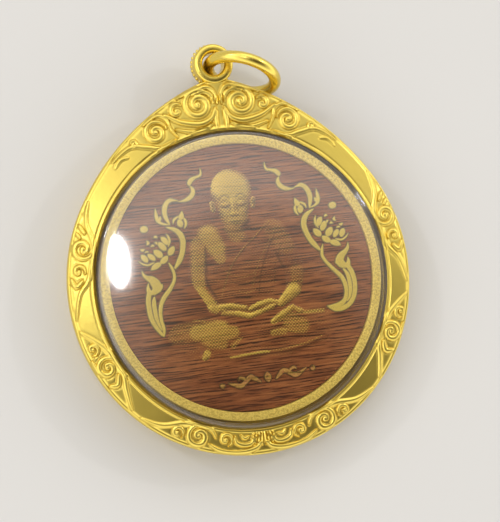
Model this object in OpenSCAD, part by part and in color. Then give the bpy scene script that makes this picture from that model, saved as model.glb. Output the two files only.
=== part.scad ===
// Round amulet pendant: a cased wood medallion under a clear domed cover, with a bail and a jump ring.
// It lies on its back with the crest towards +Y, and the origin is on the surface under its centre.

/* [Medallion] */
// Outer radius of the medallion's rim
medallion_r = 20; // [18:0.1:22]
// Width of the rim's face
rim_w = 1.25; // [0.9:0.05:2]
// Thickness of the medallion
medallion_t = 5; // [4:0.1:7]
// Depth of the wood face below the rim's face
disc_drop = 0.45; // [0.3:0.05:0.8]
// Width of the ledge that carries the wood inside the rim
ledge_w = 1.2; // [0.8:0.1:2]
// Thickness of that ledge
ledge_t = 0.6; // [0.4:0.05:1]
// Offset of the medallion towards the crest, as it sits in its cover
medallion_shift = 0.25; // [0:0.05:0.25]
// Height of the raised figure at its thickest
figure_h = 0.7; // [0.4:0.05:1]
// Height of the raised lotus sprays
spray_h = 0.2; // [0.1:0.05:0.3]

/* [Cover] */
// Room between the medallion and the cover, all round
cover_room = 0.3; // [0.3:0.01:0.6]
// Thickness of the cover
cover_t = 0.6; // [0.4:0.05:0.8]
// Height of the cover's round wall above the medallion
cover_head = 0.1; // [0.05:0.05:1]
// Radius of the rounded edge between the wall and the dome
dome_edge_r = 0.9; // [0.85:0.05:1.5]
// Rise of the dome from its rounded edge to its middle
dome_rise = 2; // [1:0.1:4]
// Width of the flange that holds the cover under the lip
cover_flange_w = 0.65; // [0.3:0.05:0.8]
// Thickness of that flange
cover_flange_t = 0.8; // [0.5:0.05:1.2]

/* [Case] */
// Width of the front frame from its window to its round outline
frame_w = 3.55; // [3:0.05:5]
// Thickness of the front frame at its window
lip_t = 1.6; // [1.3:0.05:2.2]
// Height of the medallion's face above the frame's lip
face_proud = 0.25; // [0:0.05:0.6]
// Fall of the frame's face from the lip to its shoulder
face_fall = 0.5; // [0.2:0.05:0.7]
// Width of the rounded outer edge
edge_w = 0.9; // [0.6:0.05:1.4]
// Thickness left at the very edge of the frame
edge_t = 0.5; // [0.3:0.05:0.8]
// Rise of the crest's tip above the round outline
crest_rise = 4.1; // [3:0.1:6]
// Radius of each side arc of the crest
crest_side_r = 36; // [32:1:50]
// Radius of the crest's tip
crest_tip_r = 4; // [3:0.1:5]
// Thickness of the drum's wall
drum_t = 0.8; // [0.6:0.05:1.2]

/* [Relief] */
// Height of the raised scrolls above the frame's face
scroll_h = 0.35; // [0.2:0.05:0.6]
// Half width of a raised line at its foot
scroll_w = 0.3; // [0.2:0.01:0.35]
// Ribs in the fan at the foot of the frame
fan_ribs = 9; // [5:2:11]
// Height of the fan's ribs across the frame, from the window
fan_l = 1.1; // [0.6:0.1:1.6]

/* [Back] */
// Thickness of the back plate
back_t = 0.8; // [0.5:0.05:1.5]
// Height of the turned-up seat on the back plate
seat_h = 1.2; // [0.8:0.05:2]
// Width of that seat
seat_w = 2.4; // [2:0.1:3]

/* [Bail and ring] */
// Radius of the bail's hole
bail_hole_r = 1.55; // [1.5:0.05:2]
// Radial thickness of the bail
bail_t = 1.3; // [0.9:0.05:1.5]
// Depth of the bail, front to back
bail_depth = 3; // [2:0.1:3.2]
// Gap between the crest's tip and the bail's hole
bail_gap = 0.35; // [0.2:0.05:0.6]
// Drop of the bail's middle below the frame's underside
bail_drop = 0.2; // [0:0.05:0.4]
// Radius of the beads round the bail
bead_r = 0.36; // [0.25:0.01:0.4]
// Radius of the jump ring's wire
wire_r = 0.85; // [0.5:0.05:0.9]
// Radius of the jump ring to the middle of its wire
ring_r = 4.8; // [4.6:0.1:5.5]
// Direction in which the jump ring leans out of the bail, clockwise from +X
ring_turn = 24; // [20:1:26]
// Lean of the jump ring from upright
ring_lean = 16; // [8:1:18]
// Gap between the jump ring and the side of the bail's hole
ring_play = 0.3; // [0.2:0.05:0.4]

/* [Hidden] */
$fn = 96;

// Play between parts that are fitted together
fit = 0.05;
// Gap under a raised form and its carrier, and under the jump ring
rest_gap = 0.02;
// Depth to which a raised line is sunk into the frame
sink = 0.15;
// Size of the softened corners
soften = 0.12;
// How far a cut runs past what it cuts
past = 1;

// Heights, from the surface up
seat_z = back_t + seat_h;
medallion_z = seat_z + fit;
face_z = medallion_z + medallion_t;
disc_z = face_z - disc_drop;
lip_z = face_z - face_proud;
frame_z = lip_z - lip_t;
shoulder_z = lip_z - face_fall;
edge_z = frame_z + edge_t;
wall_z = face_z + cover_head;

// Radii, from the centre out
disc_r = medallion_r - rim_w;
cover_in_r = medallion_r + cover_room;
cover_r = cover_in_r + cover_t;
window_r = cover_r + fit;
flange_r = cover_r + cover_flange_w;
bore_r = flange_r + fit;
drum_r = bore_r + drum_t;
case_r = window_r + frame_w;

// Outline of the front frame: a circle, and a crest of two side arcs with a round tip
tip_y = case_r + crest_rise - crest_tip_r;
side_in = crest_side_r - case_r;
side_tip = crest_side_r - crest_tip_r;
side_y = (tip_y * tip_y + side_in * side_in - side_tip * side_tip) / (2 * tip_y);
side_x = sqrt(side_in * side_in - side_y * side_y);
join_a = atan2(side_x, -side_y);
tip_turn = atan2(side_x, tip_y - side_y);
tip_a = atan2(crest_tip_r * sin(tip_turn), tip_y + crest_tip_r * cos(tip_turn));

// Place of the bail
bail_y = case_r + crest_rise + bail_gap + bail_hole_r;
bail_z = frame_z - bail_drop;

// Distance from the centre to a circle's far side, at an angle from the crest
function reach(a, x, y, r) =
    let (along = x * sin(a) + y * cos(a))
    along + sqrt(along * along - x * x - y * y + r * r);

// Distance from the centre to the frame's outline, at an angle from the crest
function outline_r(a) =
    let (w = abs((a + 540) % 360 - 180))
    w >= join_a ? case_r
    : w >= tip_a ? reach(w, -side_x, side_y, crest_side_r)
    : reach(w, 0, tip_y, crest_tip_r);

// A place on the frame: an angle from the crest, and a share of the way from window to outline
function frame_point(a, share) =
    let (r = window_r + share * (outline_r(a) - window_r))
    [r * sin(a), r * cos(a)];

// Fall of the rounded edge, at a distance inside the outline
function edge_fall(inside) =
    inside >= edge_w ? 0
    : (shoulder_z - edge_z) * (1 - sqrt(1 - pow(1 - inside / edge_w, 2)));

// Height of the frame's face at a place
function face_height(p) =
    let (
        out = outline_r(atan2(p.x, p.y)),
        share = (norm(p) - window_r) / (out - window_r)
    )
    lip_z - face_fall * max(0, min(1, share)) - edge_fall(max(0, out - norm(p)));

// A smooth curve through the rows of a table
function between(p, i, u) =
    let (
        last = len(p) - 1,
        a = p[max(0, i - 1)],
        b = p[i],
        c = p[i + 1],
        d = p[min(last, i + 2)]
    )
    b + 0.5 * u * (c - a + u * (2 * a - 5 * b + 4 * c - d + u * (3 * b - a - 3 * c + d)));
function smooth(p, steps) =
    [
        for (i = [0 : len(p) - 2]) for (k = [0 : steps - 1]) between(p, i, k / steps),
        p[len(p) - 1]
    ];

// The unit vector to the right of a path, at one of its points
function right_of(path, i) =
    let (d = path[min(len(path) - 1, i + 1)] - path[max(0, i - 1)])
    [d.y, -d.x] / norm(d);

// How full a line is, from its thin ends to its middle
end_full = 0.35;
function swell(i, n) = end_full + (1 - end_full) * sqrt(sin(180 * (i + 0.35) / (n + 0.7)));

// The closed solid through rings that all have the same count of points
module skin(rings, closed = false) {
    m = len(rings[0]);
    n = len(rings);
    sides = [
        for (i = [0 : closed ? n - 1 : n - 2])
            for (j = [0 : m - 1])
                let (
                    a = i * m + j,
                    b = i * m + (j + 1) % m,
                    c = ((i + 1) % n) * m + (j + 1) % m,
                    d = ((i + 1) % n) * m + j
                )
                each [[a, b, c], [a, c, d]]
    ];
    ends = closed ? [] : [[for (j = [m - 1 : -1 : 0]) j], [for (j = [0 : m - 1]) (n - 1) * m + j]];
    polyhedron(points = [for (ring = rings) each ring], faces = concat(sides, ends));
}

// A raised line along a path on the frame, with a flat top of a given share of its width
crown_share = 0.45;
module ridge(path, half_w, high) {
    n = len(path) - 1;
    skin([
        for (i = [0 : n])
            let (
                p = path[i],
                full = swell(i, n),
                side = right_of(path, i) * half_w * full,
                right = p + side,
                left = p - side,
                top = face_height(p) + high * full,
                crown = crown_share * side
            )
            [
                [right.x, right.y, face_height(right) - sink],
                [p.x + crown.x, p.y + crown.y, top],
                [p.x - crown.x, p.y - crown.y, top],
                [left.x, left.y, face_height(left) - sink]
            ]
    ]);
}

// Scrolls on the right half of the frame
// columns: angle from the crest, share across the frame, outer and inner radius as shares of frame_w,
// angle of the outer end, turn inwards
SCROLLS = [
    [6.9, 0.61, 0.44, 0.12, 190, -560],
    [13.9, 0.70, 0.27, 0.09, 60, 420],
    [23.8, 0.53, 0.45, 0.12, 250, 540],
    [32.4, 0.72, 0.16, 0.07, 90, 330],
    [73, 0.52, 0.31, 0.10, 200, -480],
    [80.2, 0.56, 0.18, 0.07, 160, 360],
    [108.4, 0.66, 0.18, 0.07, 60, 340],
    [115.8, 0.50, 0.31, 0.10, 160, 480],
    [149.4, 0.64, 0.20, 0.07, 60, 340],
    [156.2, 0.50, 0.35, 0.11, 160, 500],
    [165.8, 0.42, 0.20, 0.07, 30, 400]
];
// Turn of a scroll for each of its steps
scroll_step = 30;
function scroll_path(s) =
    let (
        middle = frame_point(s[0], s[1]),
        steps = ceil(abs(s[5]) / scroll_step)
    )
    [
        for (i = [0 : steps])
            let (
                r = frame_w * (s[2] + (s[3] - s[2]) * i / steps),
                a = s[0] + s[4] + s[5] * i / steps
            )
            middle + r * [sin(a), cos(a)]
    ];

// Raised lines on the right half of the frame
// columns: width as a share of scroll_w, then places: angle from the crest, share across the frame
LINES = [
    [1.1, [1.9, 0.06], [1.8, 0.22], [1.2, 0.38]],
    [1.0, [0.7, 0.50], [1.0, 0.70], [3.2, 0.87], [8.5, 0.92], [13, 0.93]],
    [0.9, [1.9, 0.54], [2.3, 0.70], [4.2, 0.80], [8, 0.84]],
    [1.3, [1.5, 0.44], [3.6, 0.26], [8.5, 0.22], [14.5, 0.42], [18.6, 0.78]],
    [1.1, [3.4, 0.15], [7, 0.08], [12, 0.11], [17, 0.30]],
    [0.9, [17.4, 0.12], [18.6, 0.40], [18.6, 0.66], [21, 0.88], [26, 0.90]],
    [1.2, [18.6, 0.08], [25, 0.08], [29.4, 0.36], [34, 0.70], [41.5, 0.82]],
    [0.9, [36.6, 0.50], [39.2, 0.66], [42.6, 0.62]],
    [1.1, [57, 0.86], [64, 0.62], [70, 0.16], [77.5, 0.09], [84, 0.20], [89, 0.56], [97, 0.84]],
    [0.9, [65.4, 0.86], [67.6, 0.56]],
    [0.8, [68.2, 0.88], [69.4, 0.68]],
    [1.2, [83.4, 0.86], [86, 0.66], [84, 0.42]],
    [1.1, [101, 0.86], [106, 0.42], [112, 0.12], [120, 0.11], [125.6, 0.42], [132, 0.84]],
    [1.2, [121.4, 0.84], [122.6, 0.54], [120, 0.30]],
    [0.9, [111.4, 0.88], [115.6, 0.90]],
    [1.1, [136, 0.88], [143, 0.66], [149, 0.26], [155, 0.08], [160.4, 0.14], [162.6, 0.42]],
    [1.2, [179, 0.50], [177, 0.72], [172, 0.88], [165.4, 0.88], [160.8, 0.70]],
    [1.1, [176.6, 0.34], [175.4, 0.54], [172.8, 0.60], [170.2, 0.50], [169.4, 0.26]],
    [0.9, [174.6, 0.24], [173, 0.34], [171.6, 0.20]]
];
function line_path(l) =
    [for (q = smooth([for (i = [1 : len(l) - 1]) l[i]], 3)) frame_point(q[0], q[1])];

// The front frame without its relief: a ring of sections, one for each station round the window
frame_stations = 120;
module frame_body() {
    // Stock inside the window, which the window's cut takes away
    stock = 0.5;
    skin([
        for (i = [0 : frame_stations - 1])
            let (
                a = i * 360 / frame_stations,
                out = outline_r(a),
                section = concat(
                    [[window_r - stock, frame_z], [window_r - stock, lip_z - soften - stock]],
                    [[window_r + soften, lip_z]],
                    [
                        for (k = [0 : 3])
                            let (r = out - edge_w * (1 - sin(30 * k)))
                            [r, face_height([r * sin(a), r * cos(a)])]
                    ],
                    [[out, frame_z]]
                )
            )
            [for (q = section) [q[0] * sin(a), q[0] * cos(a), q[1]]]
    ], closed = true);
}

module relief_half() {
    for (s = SCROLLS) ridge(scroll_path(s), scroll_w, scroll_h);
    for (l = LINES) ridge(line_path(l), scroll_w * l[0], scroll_h);
}

// Short ribs that spread from the window at the foot of the frame
module fan() {
    // Angle between two ribs round the window, at the window and at their far ends
    near_step = 0.9;
    far_step = 1.1;
    near_r = window_r + soften;
    far_r = near_r + fan_l;
    for (k = [0 : fan_ribs - 1]) {
        n = k - (fan_ribs - 1) / 2;
        near = near_r * [sin(180 + n * near_step), cos(180 + n * near_step)];
        far = far_r * [sin(180 + n * far_step), cos(180 + n * far_step)];
        ridge([near, (near + far) / 2, far], scroll_w / 2, scroll_h);
    }
}

module relief() {
    relief_half();
    mirror([1, 0, 0]) relief_half();
    fan();
}

// The drum behind the frame, which holds the cover and the medallion
module drum() {
    difference() {
        cylinder(r = drum_r, h = frame_z + edge_t / 2);
        translate([0, 0, -past]) cylinder(r = bore_r, h = frame_z + past);
    }
}

// The section of the bail: a thick wall with cut corners
module bail() {
    outer = bail_hole_r + bail_t;
    cut = bail_t / 3;
    half = bail_depth / 2;
    // Angle between two beads, and the beads on each side of the top one
    bead_step = 18;
    side_beads = 7;
    translate([0, bail_y, bail_z]) {
        rotate_extrude() polygon([
            [bail_hole_r + cut, -half], [outer - cut, -half], [outer, cut - half], [outer, half - cut],
            [outer - cut, half], [bail_hole_r + cut, half], [bail_hole_r, half - cut], [bail_hole_r, cut - half]
        ]);
        for (k = [-side_beads : side_beads])
            translate((outer - bead_r / 3) * [sin(k * bead_step), cos(k * bead_step), 0])
                sphere(r = bead_r, $fn = 24);
    }
}

module case() {
    color([0.83, 0.68, 0.22]) {
        difference() {
            union() {
                frame_body();
                relief();
                drum();
            }
            translate([0, 0, -past]) cylinder(r = window_r, h = lip_z + 2 * past);
        }
        bail();
    }
}

module back_plate() {
    color([0.80, 0.65, 0.22]) difference() {
        cylinder(r = bore_r - fit, h = seat_z);
        translate([0, 0, back_t]) cylinder(r = bore_r - fit - seat_w, h = seat_h + past);
    }
}

// Points of an arc in the section plane
function arc(x, z, r, from, to, steps) =
    [for (i = [0 : steps]) let (a = from + (to - from) * i / steps) [x + r * cos(a), z + r * sin(a)]];

// The clear cover: a skirt on the back plate's seat, a flange under the lip, a wall and a dome
module cover() {
    corner_x = cover_r - dome_edge_r;
    top = dome_edge_r + dome_rise;
    dome_r = (corner_x * corner_x + top * top - dome_edge_r * dome_edge_r) / (2 * dome_rise);
    dome_z = wall_z + top - dome_r;
    meet = atan2(wall_z - dome_z, corner_x);
    flange_top = frame_z - fit;
    color([0.80, 0.85, 0.86, 0.35]) rotate_extrude() polygon(concat(
        [[cover_in_r, seat_z + fit], [cover_r, seat_z + fit]],
        [[cover_r, flange_top - cover_flange_t], [flange_r, flange_top - cover_flange_t]],
        [[flange_r, flange_top], [cover_r, flange_top]],
        arc(corner_x, wall_z, dome_edge_r, 0, meet, 6),
        arc(0, dome_z, dome_r, meet + 1, 90, 10),
        arc(0, dome_z, dome_r - cover_t, 90, meet + 1, 10),
        arc(corner_x, wall_z, dome_edge_r - cover_t, meet, 0, 6)
    ));
}

// The medallion's rim, with the ledge that carries the wood
module medallion_rim() {
    color([0.78, 0.66, 0.30]) translate([0, medallion_shift, medallion_z]) rotate_extrude() polygon([
        [disc_r - ledge_w, 0], [medallion_r - soften, 0], [medallion_r, soften],
        [medallion_r, medallion_t - soften], [medallion_r - soften, medallion_t],
        [disc_r + soften, medallion_t], [disc_r, medallion_t - soften],
        [disc_r, ledge_t], [disc_r - ledge_w, ledge_t]
    ]);
}

module medallion_disc() {
    color([0.42, 0.23, 0.14]) translate([0, medallion_shift, medallion_z + ledge_t + fit])
        cylinder(r = disc_r - fit, h = disc_z - medallion_z - ledge_t - fit);
}

// Lengths on the picture are in hundredths of the wood's radius
picture = disc_r / 100;
print_z = disc_z + rest_gap;

// One rounded form of the figure, half of it above the wood
module form(x, y, rx, ry, high, turn = 0) {
    translate([x * picture, y * picture, 0]) rotate(turn)
        scale([rx * picture, ry * picture, high * figure_h]) sphere(r = 1, $fn = 16);
}

// Limbs and folds of the figure, each a rounded bar between two places
// columns: x, y, radius, x, y, radius, height as a share of figure_h
LIMBS = [
    [-20, 33, 11, 20, 33, 11, 0.50],
    [-5, 41, 9, 5, 41, 9, 0.56],
    [-30, 32, 9, -37, 0, 7.5, 0.60],
    [-37, -1, 7, -21, -25, 4.6, 0.74],
    [-20, -26, 4.4, -9, -29, 3, 0.80],
    [31, 32, 9.5, 42, 2, 8, 0.60],
    [42, 0, 7, 22, -27, 4.8, 0.74],
    [21, -28, 4.4, 9, -31, 3, 0.80],
    [-16, -38, 13, -47, -42, 12, 0.66],
    [17, -38, 13, 52, -42, 13, 0.66],
    [-50, -48, 8, 2, -55, 6, 0.78],
    [54, -48, 8, -4, -57, 6, 0.86],
    [-23, -25, 3, 0, -31, 3, 0.92],
    [0, -31, 3, 22, -24, 3, 0.92],
    [22, -24, 3, 58, -34, 2.6, 0.80],
    [24, 40, 3, -6, 14, 2.6, 0.70],
    [-6, 14, 2.6, -23, -10, 2.4, 0.66],
    [-42, -61, 2.6, 56, -59, 2.6, 0.42]
];
// Rounded forms of the head
// columns: x, y, radius across, radius upwards, height as a share of figure_h, turn
HEAD = [
    [0, 65, 16, 16, 0.90, 0],
    [0, 54.5, 13, 16.5, 0.92, 0],
    [-14.4, 56, 2.6, 6, 0.76, 6],
    [14.4, 56, 2.6, 6, 0.76, -6],
    [0, 54, 1.8, 5.4, 1.24, 0],
    [0, 50.6, 3.2, 1.8, 1.22, 0],
    [-6, 57.4, 4.2, 2, 1.08, 4],
    [6, 57.4, 4.2, 2, 1.08, -4],
    [0, 45.6, 4.8, 1.3, 1.10, 0],
    [0, 42.8, 3.8, 1.7, 1.04, 0],
    [-40, -55, 6.5, 3.2, 0.92, 18]
];

// The upper body, broad at the shoulders and drawn in at the waist
module torso() {
    shoulder_x = 17;
    waist_x = 9;
    hull() for (side = [-1, 1]) {
        form(side * shoulder_x, 30, 14, 13, 0.48);
        form(side * waist_x, -20, 15, 14, 0.50);
    }
}

module monk_figure() {
    color([0.80, 0.64, 0.28]) translate([0, medallion_shift, print_z]) intersection() {
        union() {
            torso();
            for (l = LIMBS) hull() {
                form(l[0], l[1], l[2], l[2], l[6]);
                form(l[3], l[4], l[5], l[5], l[6]);
            }
            for (f = HEAD) form(f[0], f[1], f[2], f[3], f[4], f[5]);
        }
        cylinder(r = disc_r - rim_w, h = 2 * figure_h);
    }
}

// How the right spray differs from a mirrored left one: its shift outwards, its width against the left one's,
// its lean, and its rise towards the rim
side_shift = 18.1;
side_width = 0.91;
side_lean = 0.115;
side_rise = 0.06;

// A place of the left spray as it lies in the right one
function other_side(p) = [side_shift - side_width * p.x - side_lean * p.y, p.y - 2 - side_rise * p.x];

// A place of a spray on its own side of the picture
function on_side(p, side) = side < 0 ? p : other_side(p);

// A flat band along a path on the picture, thin at its ends
module band(points, half_w, side = -1, steps = 4) {
    path = [for (p = smooth(points, steps)) on_side(p, side)];
    n = len(path) - 1;
    edge = [for (i = [0 : n]) right_of(path, i) * half_w * swell(i, n)];
    right = [for (i = [0 : n]) path[i] + edge[i]];
    left = [for (i = [n : -1 : 0]) path[i] - edge[i]];
    polygon(picture * concat(right, left));
}

// A leaf along a path on the picture, pointed at both ends, with scallops down its outer side
module leaf(points, half_w, scallops, side) {
    path = [for (p = smooth(points, 6)) on_side(p, side)];
    n = len(path) - 1;
    dip = 0.3;
    full = [for (i = [0 : n]) half_w * pow(sin(180 * i / n), 0.6)];
    wave = [for (i = [0 : n]) 1 - dip * abs(cos(180 * scallops * i / n))];
    polygon(picture * concat(
        [path[0]],
        [for (i = [1 : n - 1]) path[i] - side * right_of(path, i) * full[i] * wave[i]],
        [path[n]],
        [for (i = [n - 1 : -1 : 1]) path[i] + side * right_of(path, i) * full[i]]
    ));
}

// A pointed petal from its foot, towards an angle from +Y
module petal(x, y, long, wide, turn, side) {
    foot = on_side([x, y], side);
    steps = 6;
    // How much narrower the petal gets towards its tip
    taper = 0.3;
    outline = [
        for (i = [0 : steps]) [wide * sin(180 * i / steps) * (1 - taper * i / steps), long * i / steps]
    ];
    translate(foot * picture) rotate(side * turn)
        polygon(picture * concat(outline, [for (i = [steps - 1 : -1 : 1]) [-outline[i].x, outline[i].y]]));
}

// Bands of the left spray
// columns: half width, then places
STEMS = [
    [1.4, [-21, 80], [-29, 74], [-29, 66], [-38, 62], [-49, 58], [-53, 53]],
    [1.7, [-53, 54], [-49, 46], [-43, 38], [-43, 28], [-49, 14]],
    [1.3, [-52, 16], [-51, 7], [-57, -8], [-64, -22], [-65, -33]],
    [1.2, [-44, 40], [-42, 44], [-41, 47]]
];
// Leaves of the left spray, from the tip down
// columns: half width, scallops, then places
LEAVES = [
    [5, 4, [-76, 18], [-71, 8], [-72, -6], [-70, -22], [-64, -36]],
    [2.2, 2, [-55, 62], [-56, 56], [-50, 50]]
];
// Petals of the left spray
// columns: x, y, length, half width, angle from +Y
PETALS = [
    [-41, 44, 9, 2.4, -4],
    [-42, 43, 7, 2, -38],
    [-40, 43, 7, 2, 30],
    [-54, 49, 10, 2.6, -32],
    [-54, 48, 7, 1.8, -62],
    [-72, 6, 11, 2.4, -30],
    [-62, 20, 14, 3, 0],
    [-63, 20, 13, 2.8, -28],
    [-61, 20, 13, 2.8, 28],
    [-64, 20, 12, 2.6, -56],
    [-60, 20, 12, 2.6, 56],
    [-64, 19, 11, 2.4, -84],
    [-60, 19, 11, 2.4, 84],
    [-62, 19, 7, 2.2, 180]
];

// The outline of a spray: side -1 is the left one, 1 the right one
module lotus_outline(side) {
    for (s = STEMS) band([for (i = [1 : len(s) - 1]) s[i]], s[0], side);
    for (l = LEAVES) leaf([for (i = [2 : len(l) - 1]) l[i]], l[0], l[1], side);
    for (p = PETALS) petal(p[0], p[1], p[2], p[3], p[4], side);
    // The round dot beside the bud
    translate(picture * on_side([-70, 43], side)) circle(r = 2.2 * picture, $fn = 24);
}

module lotus_left() {
    color([0.80, 0.64, 0.28]) translate([0, medallion_shift, print_z])
        linear_extrude(spray_h) lotus_outline(-1);
}

module lotus_right() {
    color([0.80, 0.64, 0.28]) translate([0, medallion_shift, print_z])
        linear_extrude(spray_h) lotus_outline(1);
}

// A plain flourish under the figure, a little to the right and rising slightly
module base_ornament() {
    middle = [9, -76];
    rise_a = 4;
    color([0.55, 0.36, 0.20]) translate([0, medallion_shift, print_z]) linear_extrude(spray_h)
        translate(picture * middle) rotate(rise_a) {
            for (side = [-1, 1]) {
                band([[side * 6, -2.5], [side * 13, 2.5], [side * 21, -2.5], [side * 30, 1]], 1.5);
                translate(picture * [side * 35, 0]) circle(r = 1.5 * picture, $fn = 24);
            }
            rotate(45) square(5 * picture, center = true);
        }
}

// The jump ring, which stands on the surface and leans in the bail's hole
module jump_ring() {
    out = [cos(ring_turn), -sin(ring_turn), 0];
    up = [sin(ring_lean) * sin(ring_turn), sin(ring_lean) * cos(ring_turn), cos(ring_lean)];
    middle_z = rest_gap + wire_r + ring_r * cos(ring_lean);
    // Where the wire crosses the middle of the bail, as a share of the ring's radius above its middle
    rise = (bail_z - middle_z) / (ring_r * cos(ring_lean));
    // Small offset that centres the leaning wire in the hole
    ease = 0.15;
    across = [sin(ring_turn), cos(ring_turn), 0];
    crossing = [0, bail_y, bail_z] - (bail_hole_r - wire_r - ring_play) * out - ease * across;
    middle = crossing + ring_r * (sqrt(1 - rise * rise) * out - rise * up);
    color([0.86, 0.70, 0.24]) translate(middle) rotate([0, 0, -ring_turn]) rotate([90 - ring_lean, 0, 0])
        rotate_extrude() translate([ring_r, 0]) circle(r = wire_r);
}

case();
back_plate();
cover();
medallion_rim();
medallion_disc();
monk_figure();
lotus_left();
lotus_right();
base_ornament();
jump_ring();
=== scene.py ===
"""Dresses a round cased amulet pendant that lies on its back.

The case, its bail and the jump ring are polished gold and the cover is clear. The medallion is dark wood
with a grainy gold rim, a gold print of a seated figure, two lotus sprays and a plain flourish. Lengths are in
millimetres unless a comment says otherwise, and the frame's are in metres.
"""
import logging
from collections.abc import Callable, Iterator, Sequence
from dataclasses import dataclass, field
from math import atan2, cos, pi, radians, sin, sqrt

import bmesh
import bpy
import numpy as np
from mathutils import Matrix, Vector


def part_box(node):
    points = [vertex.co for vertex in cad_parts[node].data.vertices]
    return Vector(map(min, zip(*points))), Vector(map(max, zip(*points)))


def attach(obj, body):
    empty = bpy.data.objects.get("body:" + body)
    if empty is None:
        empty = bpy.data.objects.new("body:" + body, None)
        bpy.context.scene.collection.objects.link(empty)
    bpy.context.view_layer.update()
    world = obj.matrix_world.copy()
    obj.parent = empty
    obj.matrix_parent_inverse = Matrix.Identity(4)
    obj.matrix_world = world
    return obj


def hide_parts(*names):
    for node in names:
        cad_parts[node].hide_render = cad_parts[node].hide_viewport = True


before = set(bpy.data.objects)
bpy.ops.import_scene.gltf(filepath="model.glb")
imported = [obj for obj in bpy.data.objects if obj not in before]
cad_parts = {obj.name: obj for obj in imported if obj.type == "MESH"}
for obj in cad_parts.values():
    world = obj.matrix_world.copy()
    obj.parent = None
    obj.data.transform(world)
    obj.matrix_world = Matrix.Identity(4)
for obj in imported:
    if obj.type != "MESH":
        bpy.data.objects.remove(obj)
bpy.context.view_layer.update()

LOG = logging.getLogger("pendant")
MM = 0.001
PX_WIDE = 500
PX_HIGH = 522
BODY = "root"

# Sizes that several parts share: how far the medallion's rim stands above the lip, how thick the lip is, how
# wide the cover's flange is, and how near two sizes count as one.
RIM_PROUD = 0.25
LIP_T = 1.6
FLANGE_W = 0.65
NEAR = 0.01

Point = tuple[float, float]
Triple = tuple[float, float, float]
Colour = Triple
Rows = tuple[Triple, ...]
Dressed = tuple[np.ndarray, dict[str, np.ndarray]]


def span(node: str) -> tuple[Vector, Vector]:
    """A node's lowest and highest corners, in millimetres."""
    low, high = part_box(node)
    return low / MM, high / MM


def lip_height() -> float:
    """How high the lip round the window is."""
    return span("medallion_rim")[1].z - RIM_PROUD


def between(low: float, high: float, share: float | np.ndarray) -> float | np.ndarray:
    """The value at a share of the way from low to high."""
    return low + (high - low) * share


def turned(angle: float | np.ndarray) -> np.ndarray:
    """A step of one millimetre at an angle from the crest in degrees, clockwise."""
    return np.stack([np.sin(np.radians(angle)), np.cos(np.radians(angle))], axis=-1)


def ease(values: np.ndarray, low: float, high: float) -> np.ndarray:
    """Smooth rise from 0 at low to 1 at high."""
    t = np.clip((values - low) / (high - low), 0, 1)
    return t * t * (3 - 2 * t)


def dent(values: np.ndarray, middle: float, width: float) -> np.ndarray:
    """A rounded dent, which is 1 at its middle and 0 far from it."""
    return np.exp(-((values - middle) / width) ** 2)


def smooth_rows(rows: Sequence[Sequence[float]], steps: int) -> np.ndarray:
    """A smooth curve through rows of a table.

    Args:
        rows: the places that the curve passes.
        steps: the steps from one row to the next.

    Returns:
        The points of the curve, one row each.
    """
    table = np.array(rows, float)
    last = len(table) - 1
    points = []
    for i in range(last):
        a = table[max(0, i - 1)]
        b = table[i]
        c = table[i + 1]
        d = table[min(last, i + 2)]
        for k in range(steps):
            u = k / steps
            bend = 2 * a - 5 * b + 4 * c - d + u * (3 * b - a - 3 * c + d)
            points.append(b + 0.5 * u * (c - a + u * bend))
    points.append(table[last])
    return np.array(points)


def close_to(spots: np.ndarray, path: np.ndarray, reach: float) -> np.ndarray:
    """The numbers of the places that lie within reach of a path's box."""
    return np.flatnonzero(np.all((spots > path.min(0) - reach) & (spots < path.max(0) + reach), axis=1))


def from_segment(
    spots: np.ndarray, start: np.ndarray, end: np.ndarray
) -> tuple[np.ndarray, np.ndarray]:
    """How far places are from a segment, and the share of its length where each comes nearest."""
    d = end - start
    t = np.clip(((spots - start) @ d) / max(d @ d, 1e-12), 0, 1)
    return np.hypot(*(spots - start - t[:, None] * d).T), t


def ridge(spots: np.ndarray, path: np.ndarray, width: float, high: float, moat: float = 0) -> np.ndarray:
    """Height that a rounded ridge along a path gives to places.

    Args:
        spots: the places, as rows of x and y.
        path: the ridge's points.
        width: half its width at its fullest.
        high: its height there.
        moat: how far down a narrow groove beside it goes, as a share of its height.

    Returns:
        The height at each place.
    """
    thin_end = 0.3
    end_room = 0.2
    moat_w = 0.8
    heights = np.zeros(len(spots))
    index = close_to(spots, path, width * (1 + moat_w if moat else 1))
    if not len(index):
        return heights
    p = spots[index]
    closest = np.full(len(index), 9.0)
    n = len(path) - 1
    for i in range(n):
        gap, t = from_segment(p, path[i], path[i + 1])
        along = np.clip((i + t + end_room) / (n + 2 * end_room), 0, 1)
        full = thin_end + (1 - thin_end) * np.sqrt(np.sin(pi * along))
        closest = np.minimum(closest, gap / (width * full))
    rise = high * np.clip(1 - closest ** 2, 0, 1) ** 0.8
    dip = moat * high * np.sin(pi * np.clip((closest - 1) / moat_w, 0, 1))
    heights[index] = rise - dip
    return heights


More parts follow.
